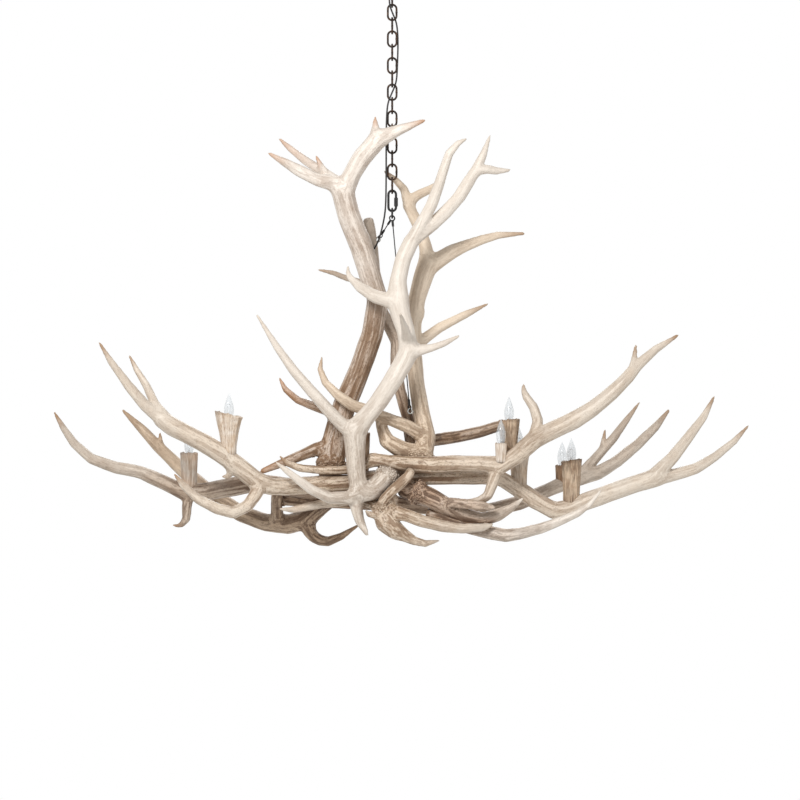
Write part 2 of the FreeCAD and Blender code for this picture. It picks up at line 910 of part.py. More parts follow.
                (-8, -76, -78, 36), (36, -96, -86, 33), (74, -104, -100, 31), (126, -110, -113, 29),
                (176, -114, -119, 25), (226, -116, -116, 19), (250, -116, -108, 8),
            ],
            [
                (-10, -68, -72, 34), (-64, -58, -52, 27), (-105, -62, -50, 24), (-172, -76, -58, 22),
                (-212, -82, -66, 19), (-248, -88, -73, 15), (-280, -92, -70, 6),
            ],
        ],
    },
}


def raw_antler(spec):
    """Beam, tines and coronet joined, in the hub's frame and before it is coped to its neighbours."""
    beam = spec["beam"]
    whole = [limb(beam, BEAM_SIDES, pointed=spec.get("tip", False))]
    whole += [limb(tine, TINE_SIDES) for tine in spec["tines"]]
    if spec["burr"] is not None:
        foot, after = beam[spec["burr"]], beam[spec["burr"] + 1]
        middle = about_hub(*foot[:3])
        whole.append(coronet(middle, about_hub(*after[:3]) - middle, foot[3]))
    return whole[0].fuse(whole[1:])


def coped(shape, seats):
    """The shape cut to fit round its seats, without any chip that the cuts free."""
    for seat in seats:
        if shape.BoundBox.intersect(seat.BoundBox):
            shape = shape.cut(seat)
    return max(shape.Solids, key=lambda solid: solid.Volume)


# each antler is coped to those that were fixed before it
antlers = {}
for name, spec in ANTLERS.items():
    antlers[name] = coped(raw_antler(spec), antlers.values())

# ---------------------------------------------------------------- candle cups, sockets, bulbs

# x and y of the middle, heights of the foot and the rim, widths there, rise of the rim to the right
CUPS = {
    "left_front": (-402, -172, 50, 166, 36, 72, -16),
    "left_end": (-510, 8, -25, 68, 40, 47, 0),
    "centre": (-75, -12, -6, 118, 36, 42, 3),
    "right_branch": (292, -58, 40, 152, 40, 55, 4),
    "right_front": (271, -96, 44, 95, 28, 31, 0),
    "right_inner": (319, 8, -20, 75, 40, 55, -4),
    "right_outer": (450, -10, -62, 50, 42, 55, 8),
    "right_back": (434, 178, -14, 35, 34, 36, 0),
}

# how far the cup has flared to its rim's width, for shares of its height
CUP_FLARE = ((0, 0), (0.3, 0.08), (0.6, 0.35), (0.85, 0.75))

# widths of the bulb's glass in shares of the widest, for shares of its height
BULB_OUTLINE = ((0.02, 0.62), (0.2, 0.9), (0.38, 1), (0.62, 0.82), (0.84, 0.38), (1, 0.08))


def cup_heights(spec):
    """Heights of the bore's mouth and of its floor, where the socket stands."""
    mouth = spec[3] - abs(spec[6]) / 2 - size("rim_raggedness")
    return mouth, mouth - size("socket_height") - size("socket_recess")


def cup(spec):
    """A flared cup with a ragged, slanting rim, bored for its socket."""
    x, y, foot, rim, foot_width, rim_width, slant = spec
    middle = about_hub(x, y, 0)
    loops = []
    for share, flare in CUP_FLARE:
        height = foot + (rim - foot) * share
        width = foot_width + (rim_width - foot_width) * flare
        loops.append(ring(middle + UP * height, UP, RIGHT, [width] * ROUND_SIDES))
    edge = []
    for number, corner in enumerate(ring(middle + UP * rim, UP, RIGHT, [rim_width] * ROUND_SIDES)):
        slope = slant * (corner.x - middle.x) / rim_width
        tear = size("rim_raggedness") * math.sin(2.4 * number)
        edge.append(corner + UP * (slope + tear))
    mouth, floor = cup_heights(spec)
    lip_width = size("cup_bore") + 2 * size("cup_lip")
    loops += [edge, ring(middle + UP * mouth, UP, RIGHT, [lip_width] * ROUND_SIDES)]
    bore = rod(middle + UP * floor, middle + UP * (mouth + 1), size("cup_bore"), ROUND_SIDES)
    return skin(loops).cut(bore)


def nipple(spec):
    """The threaded tube that holds a socket and pins the cup to its antler."""
    middle = about_hub(spec[0], spec[1], 0)
    top = middle + UP * (cup_heights(spec)[1] + size("socket_floor"))
    foot = middle + UP * spec[2]
    return rod(foot, top, size("nipple_diameter")), rod(foot, top, size("nipple_bore"))


def socket(spec):
    """The lamp socket: a round cup on the cup's floor, open at the top for the bulb."""
    middle = about_hub(spec[0], spec[1], cup_heights(spec)[1])
    top = middle + UP * size("socket_height")
    floor = middle + UP * size("socket_floor")
    bore_width = size("bulb_base_diameter") + 2 * size("bulb_clearance")
    bore_width /= math.cos(math.pi / ROUND_SIDES)
    return rod(middle, top, size("socket_diameter"), ROUND_SIDES).cut(rod(floor, top, bore_width, ROUND_SIDES))


def bulb():
    """A pointed candle bulb on its base. Its origin is the top of the socket."""
    base = size("socket_height") - size("socket_floor") - size("bulb_clearance")
    widths = [(-base, 0.5 * size("bulb_base_diameter")), (-base + 3, size("bulb_base_diameter"))]
    widths.append((size("bulb_clearance"), size("bulb_base_diameter")))
    for share, width in BULB_OUTLINE:
        widths.append((share * size("bulb_length"), width * size("bulb_diameter")))
    return skin([ring(UP * height, UP, RIGHT, [width] * ROUND_SIDES) for height, width in widths])


HUB = V(0, 0, HUB_Z)
sockets = []
nipples = []
for name, spec in CUPS.items():
    tube, tube_hole = nipple(spec)
    body = coped(cup(spec), antlers.values()).cut(tube)
    for antler_name, antler in antlers.items():
        if antler.BoundBox.intersect(tube.BoundBox):
            antlers[antler_name] = antler.cut(tube)
    piece(f"cup_{name}", body, HUB)
    sockets.append(socket(spec).cut(tube))
    nipples.append(tube.cut(tube_hole))
    piece(f"bulb_{name}", bulb(), HUB + about_hub(spec[0], spec[1], cup_heights(spec)[1] + size("socket_height")))
piece("sockets", Part.makeCompound(sockets), HUB)
piece("socket_nipples", Part.makeCompound(nipples), HUB)

# ---------------------------------------------------------------- cables and screw eyes

# x, y and z of each eye's middle, and of the middle of the antler that its shank goes into
ANCHORS = {
    "antler_rear_upright": ((-34, 33, 603), (-54, 49, 600)),
    "antler_right_upright": ((45, -8, 172), (73, 6, 165)),
}


def cable(top, bottom, eye_across_top, eye_across_bottom):
    """A wire cable between the middles of two eyes, each closed by a ferrule."""
    way = top - bottom
    way.normalize()
    bend = size("cable_eye_bend")
    parts = []
    ferrule_ends = []
    for middle, across, inward in ((top, eye_across_top, way * -1), (bottom, eye_across_bottom, way)):
        start = middle + inward * (bend / 2)
        end = start + inward * size("ferrule_length")
        parts.append(wire_loop(middle, circle(bend, across, way), size("cable_diameter")))
        parts.append(rod(start, end, size("ferrule_diameter")))
        ferrule_ends.append(end)
    parts.append(rod(*ferrule_ends, size("cable_diameter")))
    return parts[0].fuse(parts[1:])


def cables_and_eyes():
    """Both cables and their screw eyes about the hub. Each shank's hole is cut in its antler."""
    ring_middle = V(0, 0, RING_Z - HUB_Z)
    ring_radius = size("ring_bend") / 2
    ring_seat = (size("ring_wire") + size("cable_diameter")) / 2 + size("eye_clearance")
    eye_seat = (size("anchor_eye_bend") + size("cable_eye_bend")) / 2 - size("eye_clearance")
    eye_seat -= (size("anchor_eye_wire") + size("cable_diameter")) / 2
    lines = []
    eyes = []
    offsets = (size("cable_eye_spacing") / 2, -size("cable_eye_spacing") / 2)
    for (antler_name, (eye_place, axis_place)), offset in zip(ANCHORS.items(), offsets):
        eye = about_hub(*eye_place)
        shank_way = about_hub(*axis_place) - eye
        shank_way.normalize()
        hang = ring_middle + V(0, offset, -math.sqrt(ring_radius**2 - offset**2))
        pull = hang - eye
        pull.normalize()
        lift = V(pull.x, 0, pull.z)
        lift.normalize()
        top = hang + lift * ring_seat - pull * (size("cable_eye_bend") / 2)
        bottom = eye + pull * eye_seat
        eye_across = square_to(pull, shank_way)
        cable_across = pull.cross(eye_across)
        top_across = pull.cross(AWAY)
        top_across.normalize()
        lines.append(cable(top, bottom, top_across, cable_across))
        loop = wire_loop(eye, circle(size("anchor_eye_bend"), eye_across, pull), size("anchor_eye_wire"))
        neck = eye + shank_way * (size("anchor_eye_bend") / 2)
        shank = rod(neck, neck + shank_way * size("anchor_shank_length"), size("anchor_eye_wire"))
        antlers[antler_name] = antlers[antler_name].cut(shank)
        eyes.append(loop.fuse(shank))
    return lines, eyes


cables, screw_eyes = cables_and_eyes()
piece("suspension_cables", Part.makeCompound(cables), HUB)
piece("screw_eyes", Part.makeCompound(screw_eyes), HUB)

# ---------------------------------------------------------------- power cord
# The route follows the cord by hand: down the stem, woven through the chain and into the rear upright.

CORD_END = HUB + about_hub(-50, 44, 572)
CORD_ROUTE = [
    V(0, 0, -4),
    V(0, 0, -50),
    V(-5, -6.5, -63),
    V(-8, -9, -92),
    V(0, 0, -114.8),
    V(10, 8, -136),
    V(14, 7, -165),
    V(14.5, 7, -205),
    V(13, 7, -245),
    V(11, 8, -288),
    V(0, 0, -314.6),
    V(-11, -8, -340),
    V(-14, -8, -375),
    V(-15, -7, -420),
    V(-15, -8, -470),
    V(-15, -7, -520),
    V(-15.5, -6, -570),
    V(-17, -2, -612),
    CORD_END + V(26, -34, 60),
    CORD_END + V(14, -26, 18),
    CORD_END,
]
CORD_SETBACK = 0.45
CORD_HOLE_DEPTH = 40
CORD_SIDES = 5


def cord(points, width):
    """Round cord along straight runs that tangent arcs join, with the length of its middle line."""
    edges = []
    radii = []
    start = points[0]
    for before, corner, after in zip(points, points[1:], points[2:]):
        run_in = corner - before
        run_out = after - corner
        half_turn = run_in.getAngle(run_out) / 2
        setback = CORD_SETBACK * min(run_in.Length, run_out.Length)
        radius = setback / math.tan(half_turn)
        run_in.normalize()
        run_out.normalize()
        inward = run_out - run_in
        inward.normalize()
        arc_start = corner - run_in * setback
        arc_end = corner + run_out * setback
        arc_middle = corner + inward * (radius / math.cos(half_turn) - radius)
        edges.append(Part.LineSegment(start, arc_start).toShape())
        edges.append(Part.Arc(arc_start, arc_middle, arc_end).toShape())
        radii.append(radius)
        start = arc_end
    edges.append(Part.LineSegment(start, points[-1]).toShape())
    path = Part.Wire(edges)
    corners = ring(points[0], UP, RIGHT, [width] * CORD_SIDES)
    section = Part.makePolygon(corners + [corners[0]])
    tube = path.makePipeShell([section], True, False)
    print("cord radii", [round(radius, 1) for radius in radii])
    print("cord volume", round(tube.Volume), "section x length", round(Part.Face(section).Area * path.Length))
    print("cord length", round(path.Length))
    return tube


piece("power_cord", cord(CORD_ROUTE, size("cord_diameter")))
cord_hole_width = size("cord_diameter") + 2 * size("cord_hole_clearance")
cord_hole_way = CORD_ROUTE[-1] - CORD_ROUTE[-2]
cord_hole_way.normalize()
cord_hole_end = CORD_END - HUB + cord_hole_way
cord_hole_mouth = cord_hole_end - cord_hole_way * CORD_HOLE_DEPTH
cord_hole = rod(cord_hole_mouth, cord_hole_end, cord_hole_width, ROUND_SIDES)
antlers["antler_rear_upright"] = antlers["antler_rear_upright"].cut(cord_hole)

for name, antler in antlers.items():
    piece(name, antler, HUB)

# ---------------------------------------------------------------- checks and export

doc.recompute()
faulty = [item.Label for item in doc.Objects if {"Invalid", "Error"} & set(item.State)]
for label, feature in pieces.items():
    if feature.Shape.isNull() or not feature.Shape.isValid():
        faulty.append(label)
if faulty:
    raise RuntimeError(f"faulty pieces: {faulty}")
for label, feature in pieces.items():
    feature.Shape.exportStep(f"parts/{label}.step")
print(len(pieces), "pieces")
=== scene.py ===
import heapq
import json
import math

import bmesh
import bpy
import numpy
from mathutils import Matrix, Vector, noise
from mathutils.bvhtree import BVHTree


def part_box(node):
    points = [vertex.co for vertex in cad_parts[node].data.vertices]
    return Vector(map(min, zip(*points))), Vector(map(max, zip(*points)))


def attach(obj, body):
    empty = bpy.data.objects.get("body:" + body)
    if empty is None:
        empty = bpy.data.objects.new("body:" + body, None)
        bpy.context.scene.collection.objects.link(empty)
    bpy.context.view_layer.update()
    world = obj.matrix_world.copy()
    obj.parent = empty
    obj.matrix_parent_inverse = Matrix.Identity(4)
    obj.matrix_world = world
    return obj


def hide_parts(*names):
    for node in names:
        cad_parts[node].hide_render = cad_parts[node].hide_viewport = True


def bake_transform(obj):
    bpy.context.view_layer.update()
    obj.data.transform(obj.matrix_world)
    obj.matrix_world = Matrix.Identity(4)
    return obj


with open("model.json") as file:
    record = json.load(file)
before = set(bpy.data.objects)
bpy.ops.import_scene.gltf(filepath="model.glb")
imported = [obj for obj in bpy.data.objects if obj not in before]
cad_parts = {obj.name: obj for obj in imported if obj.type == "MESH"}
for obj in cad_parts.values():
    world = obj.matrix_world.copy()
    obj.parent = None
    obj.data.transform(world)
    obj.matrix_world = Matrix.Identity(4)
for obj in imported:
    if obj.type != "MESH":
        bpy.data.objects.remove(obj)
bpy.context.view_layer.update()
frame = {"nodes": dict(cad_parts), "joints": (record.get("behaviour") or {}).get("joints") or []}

nodes = frame["nodes"]

# The studio. The lamp hangs in front of plain white, with soft light from above and both sides. The
# camera is level, far off, and looks at a point a little above the antlers' hub.
RING_TO_HUB = 0.667
ring_low, ring_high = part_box("hanging_ring")
RING = (Vector(ring_low) + Vector(ring_high)) / 2
HUB = RING - Vector((0, 0, RING_TO_HUB))
CLUSTER_SHIFT = Vector((-0.0006, -0.0011, 0))
CAMERA_DISTANCE = 10.5
VIEW_WIDTH = 2.0
SENSOR = 36
VIEW_MIDDLE = Vector((0.0195, 0, HUB.z + 0.200))
camera_data = bpy.data.cameras.new("camera")
camera_data.sensor_width = SENSOR
camera_data.lens = SENSOR * CAMERA_DISTANCE / VIEW_WIDTH
camera = bpy.data.objects.new("camera", camera_data)
camera.location = VIEW_MIDDLE - Vector((0, CAMERA_DISTANCE, 0))
camera.rotation_euler = (math.pi / 2, 0, 0)
bpy.context.scene.collection.objects.link(camera)
bpy.context.scene.camera = camera
bpy.context.scene.view_settings.view_transform = "Standard"

# where each light stands from the hub, its width in metres and its watts
for name, place, width, watts in (
    ("key_light", (-1.6, -4.0, 2.6), 1.2, 200),
    ("fill_light", (3.4, -2.6, 0.3), 2.2, 36),
    ("back_light", (0.8, 3.6, 1.8), 2.2, 55),
):
    light_data = bpy.data.lights.new(name, "AREA")
    light_data.size = width
    light_data.energy = watts
    light = bpy.data.objects.new(name, light_data)
    light.location = HUB + Vector(place)
    light.rotation_euler = (VIEW_MIDDLE - light.location).to_track_quat("-Z", "Y").to_euler()
    bpy.context.scene.collection.objects.link(light)


BLACK = (0, 0, 0, 1)
WHITE = (1, 1, 1, 1)


def add(tree, kind, inputs=None, **settings):
    """A node with its settings. An input is a plain value, or the socket that feeds it."""
    node = tree.nodes.new(kind)
    for name, value in settings.items():
        setattr(node, name, value)
    for name, value in (inputs or {}).items():
        if isinstance(value, bpy.types.NodeSocket):
            tree.links.new(value, node.inputs[name])
        else:
            node.inputs[name].default_value = value
    return node


def calculate(tree, operation, *values):
    """The result of a sum on plain values or sockets."""
    return add(tree, "ShaderNodeMath", dict(enumerate(values)), operation=operation).outputs[0]


ROOM_LIGHT = 0.46
PAPER_LIGHT = 1
world = bpy.data.worlds.new("studio")
bpy.context.scene.world = world
world.use_nodes = True
world.node_tree.nodes.clear()
path = add(world.node_tree, "ShaderNodeLightPath").outputs
seen_directly = calculate(world.node_tree, "MAXIMUM", path["Is Camera Ray"], path["Is Glossy Ray"])
seen_directly = calculate(world.node_tree, "MAXIMUM", seen_directly, path["Is Transmission Ray"])
room = add(world.node_tree, "ShaderNodeBackground", {"Color": WHITE, "Strength": ROOM_LIGHT})
paper = add(world.node_tree, "ShaderNodeBackground", {"Color": WHITE, "Strength": PAPER_LIGHT})
both = add(
    world.node_tree, "ShaderNodeMixShader", {0: seen_directly, 1: room.outputs[0], 2: paper.outputs[0]}
)
add(world.node_tree, "ShaderNodeOutputWorld", {"Surface": both.outputs[0]})


BRIGHTEST = 255


def linear(red, green, blue):
    """A colour as it is picked from a screen, 0 to 255, for a shader."""
    shades = []
    for value in (red, green, blue):
        value /= BRIGHTEST
        shades.append(value / 12.92 if value <= 0.04045 else ((value + 0.055) / 1.055) ** 2.4)
    return (*shades, 1)


def new_finish(name):
    """A material with its node tree and its shader."""
    finish = bpy.data.materials.new(name)
    finish.use_nodes = True
    return finish, finish.node_tree, finish.node_tree.nodes["Principled BSDF"]


def add_object(name, mesh, finish):
    """An object in the scene with one material."""
    piece = bpy.data.objects.new(name, mesh)
    bpy.context.scene.collection.objects.link(piece)
    mesh.materials.clear()
    mesh.materials.append(finish)
    return piece


def ramp(tree, factor, *stops):
    """A colour ramp from (place, colour) stops."""
    node = add(tree, "ShaderNodeValToRGB", {"Fac": factor})
    node.color_ramp.elements[0].position, node.color_ramp.elements[0].color = stops[0]
    node.color_ramp.elements[1].position, node.color_ramp.elements[1].color = stops[-1]
    for place, colour in stops[1:-1]:
        node.color_ramp.elements.new(place).color = colour
    return node.outputs["Color"]


def mixed(tree, factor, first, second):
    """Two colours mixed. Either is a colour or a socket."""
    return add(tree, "ShaderNodeMix", {0: factor, 6: first, 7: second}, data_type="RGBA").outputs[2]


def cloudy(tree, vector, scale, detail=3, roughness=0.6):
    """Soft noise from 0 to 1."""
    inputs = {"Vector": vector, "Scale": scale, "Detail": detail, "Roughness": roughness}
    return add(tree, "ShaderNodeTexNoise", inputs).outputs["Fac"]


def between(tree, value, low, high):
    """A value from 0 to 1 stretched to run from low to high."""
    return add(tree, "ShaderNodeMapRange", {"Value": value, "To Min": low, "To Max": high}).outputs["Result"]


def lift(tree, shader, height, distance):
    """Gives the shader a bump from a height."""
    bump = add(tree, "ShaderNodeBump", {"Height": height, "Strength": 1, "Distance": distance})
    tree.links.new(bump.outputs[0], shader.inputs["Normal"])


# the floor is paper that fades out towards its edge
FLOOR_DROP = 1.17
FLOOR_HALF = 3.7
FADE_START = 1.4
FADE_END = FLOOR_HALF * 0.97
floor_finish, tree, shader = new_finish("floor_paper")
shader.inputs["Base Color"].default_value = linear(238, 238, 236)
fibre = cloudy(tree, add(tree, "ShaderNodeTexCoord").outputs["Object"], 90)
tree.links.new(between(tree, fibre, 0.85, 0.95), shader.inputs["Roughness"])
place = add(tree, "ShaderNodeTexCoord").outputs["Object"]
flat = add(tree, "ShaderNodeVectorMath", {0: place, 1: (1, 1, 0)}, operation="MULTIPLY").outputs[0]
out = add(tree, "ShaderNodeVectorMath", {0: flat}, operation="LENGTH").outputs["Value"]
fade = add(
    tree,
    "ShaderNodeMapRange",
    {"Value": out, "From Min": FADE_START, "From Max": FADE_END, "To Min": 1, "To Max": 0},
    interpolation_type="SMOOTHSTEP",
)
tree.links.new(fade.outputs["Result"], shader.inputs["Alpha"])
floor_mesh = bpy.data.meshes.new("floor")
floor_height = HUB.z - FLOOR_DROP
corners = [(x * FLOOR_HALF, y * FLOOR_HALF, floor_height) for x, y in ((-1, -1), (1, -1), (1, 1), (-1, 1))]
floor_mesh.from_pydata(corners, [], [(0, 1, 2, 3)])
add_object("floor", floor_mesh, floor_finish)

# The antlers. Each is shed elk antler: a smooth pale skin where handling polished it, with long grooves
# and brown stain that are deepest near the burr and fade towards worn tips. They are cut to fit round
# each other and pinned, so all ride on the one cluster.
ANTLER_VOXEL = 0.0027
SAME_POINT = 1e-6


def in_mm(place):
    """A point that is given in mm, in metres."""
    return Vector(place) / 1000


def voxel_copy(source, voxel):
    """A closed and evenly divided copy of a CAD mesh."""
    merged = bmesh.new()
    merged.from_mesh(source.data)
    bmesh.ops.remove_doubles(merged, verts=merged.verts, dist=SAME_POINT)
    mesh = bpy.data.meshes.new("blank")
    merged.to_mesh(mesh)
    merged.free()
    blank = bpy.data.objects.new("blank", mesh)
    bpy.context.scene.collection.objects.link(blank)
    remesh = blank.modifiers.new("even", "REMESH")
    remesh.mode = "VOXEL"
    remesh.voxel_size = voxel
    remesh.use_smooth_shade = True
    result = bpy.data.meshes.new_from_object(blank.evaluated_get(bpy.context.evaluated_depsgraph_get()))
    bpy.data.objects.remove(blank)
    bpy.data.meshes.remove(mesh)
    return result


def read(items, name, width):
    """One row of numbers for each vertex."""
    values = numpy.empty(len(items) * width, dtype=numpy.float32)
    items.foreach_get(name, values)
    return values.reshape(-1, width).astype(float)


def write_points(mesh, points):
    mesh.vertices.foreach_set("co", points.astype(numpy.float32).ravel())
    mesh.update()


def edges_of(mesh):
    edges = numpy.empty(len(mesh.edges) * 2, dtype=numpy.int32)
    mesh.edges.foreach_get("vertices", edges)
    return edges.reshape(-1, 2)


def spread(values, edges, rounds, pace=1):
    """Each value moves towards the mean of its neighbours, over and over."""
    here = edges.ravel()
    there = edges[:, ::-1].ravel()
    near = numpy.bincount(here, minlength=len(values))[:, None]
    for turn in range(rounds):
        columns = [
            numpy.bincount(here, weights=values[there, column], minlength=len(values))
            for column in range(values.shape[1])
        ]
        values = values + pace * (numpy.stack(columns, axis=1) / near - values)
    return values


def softened(source, voxel, turns):
    """An even copy of a CAD mesh with its edges taken off."""
    mesh = voxel_copy(source, voxel)
    write_points(mesh, spread(read(mesh.vertices, "co", 3), edges_of(mesh), turns, 0.5))
    return mesh


LIFT_OFF = 0.0003
THICKEST = 0.09
ROUNDED_RADIUS = 0.020


def radius_of(mesh):
    """Half the wall to wall distance behind each vertex, which is the limb's radius there."""
    points = read(mesh.vertices, "co", 3)
    normals = read(mesh.vertices, "normal", 3)
    faces = [tuple(face.vertices) for face in mesh.polygons]
    surface = BVHTree.FromPolygons(points.tolist(), faces)
    radius = numpy.full((len(points), 1), ROUNDED_RADIUS)
    for number, (point, normal) in enumerate(zip(points, normals)):
        inward = Vector(-normal)
        hit = surface.ray_cast(Vector(point) + inward * LIFT_OFF, inward, THICKEST)
        if hit[0]:
            radius[number] = hit[3] / 2
    return points, radius


STEP_TURNS = 24
STEP_IN = 0.5
STEP_BACK = -0.53
ROUNDING_TURNS = 46
SLOWEST = 0.2
MAKE_UP = 0.10
THIN_MAKE_UP = 0.13
THIN_RADIUS = 0.013
LARGEST_SWELL = 0.006


def round_off(mesh, voxel):
    """Takes the voxels' steps out, in and back so that nothing shrinks, and then rounds the CAD's facets
    off, gently where a limb is thin, and makes up for the bulk that it costs."""
    edges = edges_of(mesh)
    points = read(mesh.vertices, "co", 3)
    for turn in range(STEP_TURNS):
        points = spread(spread(points, edges, 1, STEP_IN), edges, 1, STEP_BACK)
    write_points(mesh, points)
    points, radius = radius_of(mesh)
    radius = spread(radius, edges, 12, 0.7)
    pace = 0.5 * numpy.clip(radius / ROUNDED_RADIUS, SLOWEST, 1) ** 2
    write_points(mesh, spread(points, edges, ROUNDING_TURNS, pace))
    normals = spread(read(mesh.vertices, "normal", 3), edges, 4, 0.5)
    normals /= numpy.linalg.norm(normals, axis=1)[:, None]
    reach = ROUNDING_TURNS * pace * voxel**2 / 2
    make_up = MAKE_UP + THIN_MAKE_UP * numpy.clip(1 - radius / THIN_RADIUS, 0, 1)
    swell = radius * (1 - numpy.exp(-reach / (2 * radius**2)) + make_up)
    write_points(mesh, read(mesh.vertices, "co", 3) + normals * numpy.minimum(swell, LARGEST_SWELL))
    return edges, radius


def along_from(points, edges, foot):
    """How far each vertex lies from the foot, over the surface."""
    lengths = numpy.linalg.norm(points[edges[:, 0]] - points[edges[:, 1]], axis=1).tolist()
    neighbours = [[] for point in points]
    for (first, second), length in zip(edges.tolist(), lengths):
        neighbours[first].append((second, length))
        neighbours[second].append((first, length))
    start = int(numpy.argmin(numpy.linalg.norm(points - numpy.array(foot), axis=1)))
    along = [math.inf] * len(points)
    along[start] = 0
    queue = [(0, start)]
    while queue:
        reached, here = heapq.heappop(queue)
        if reached > along[here]:
            continue
        for there, length in neighbours[here]:
            if reached + length < along[there]:
                along[there] = reached + length
                heapq.heappush(queue, (along[there], there))
    along = numpy.array(along)[:, None]
    along[numpy.isinf(along)] = 0
    return spread(along, edges, 8)


def keep(mesh, name, kind, values):
    """Stores a value at each vertex, for the materials to read."""
    layer = mesh.attributes.new(name, kind, "POINT")
    field = "vector" if kind == "FLOAT_VECTOR" else "value"
    layer.data.foreach_set(field, numpy.ascontiguousarray(values, dtype=numpy.float32).ravel())


GROOVES_PER_METRE = 210
BROAD_SHARE = 0.42
LUMPS_PER_METRE = 20
LUMP_HEIGHT = 0.0014
LEAST_GROOVE = 0.15
# how far from another antler the painted shade reaches
SEAT_SHADE = 0.022


def carve(mesh, edges, radius, foot, groove_depth, fade, neighbours):
    """Cuts long grooves that follow the limb, and marks painted shade on the skin where antlers meet."""
    points = read(mesh.vertices, "co", 3)
    normals = read(mesh.vertices, "normal", 3)
    along = along_from(points, edges, foot)
    across = spread(normals * radius, edges, 4)
    groove = numpy.empty((len(points), 1))
    height = numpy.empty((len(points), 1))
    contact_shade = numpy.zeros((len(points), 1))
    for number in range(len(points)):
        side = Vector(across[number])
        place = Vector(points[number])
        run = float(along[number, 0])
        streak = noise.noise(side * GROOVES_PER_METRE + Vector((run * 8, 7.0, run * 3)))
        broad = noise.noise(side * GROOVES_PER_METRE * BROAD_SHARE + Vector((3.0, run * 5, 1.0)))
        lump = noise.noise(place * LUMPS_PER_METRE)
        strength = max(LEAST_GROOVE, 1 - run / fade)
        thin = min(1.0, float(radius[number, 0]) / THIN_RADIUS) ** 2
        groove[number] = min(1.0, max(0.0, 0.5 - 0.9 * streak - 0.5 * broad))
        cut = groove_depth * strength * (0.75 * streak + 0.6 * broad)
        height[number] = (cut + LUMP_HEIGHT * lump) * thin
        # painted shade, which grows as another antler comes nearer
        near = neighbours.find_nearest(place, SEAT_SHADE)
        if near[0]:
            contact_shade[number] = 1 - near[3] / SEAT_SHADE
    write_points(mesh, points + normals * height)
    keep(mesh, "across", "FLOAT_VECTOR", across)
    keep(mesh, "along", "FLOAT", along)
    keep(mesh, "groove", "FLOAT", groove)
    keep(mesh, "contact_shade", "FLOAT", spread(contact_shade, edges, 4))
    keep(mesh, "radius", "FLOAT", radius)


IVORY = linear(230, 220, 209)
CREAM = linear(222, 212, 200)
BONE = linear(211, 199, 184)
GREY_BEIGE = linear(200, 187, 172)
HONEY = linear(220, 203, 182)
TAN = linear(202, 180, 155)
PINK_BROWN = linear(180, 146, 118)
BROWN = linear(152, 121, 92)
STAIN = linear(120, 92, 67)
DARK = linear(82, 59, 42)
RUSTY = linear(176, 126, 86)
THINNEST = 0.003
BONE_RELIEF = 0.0018


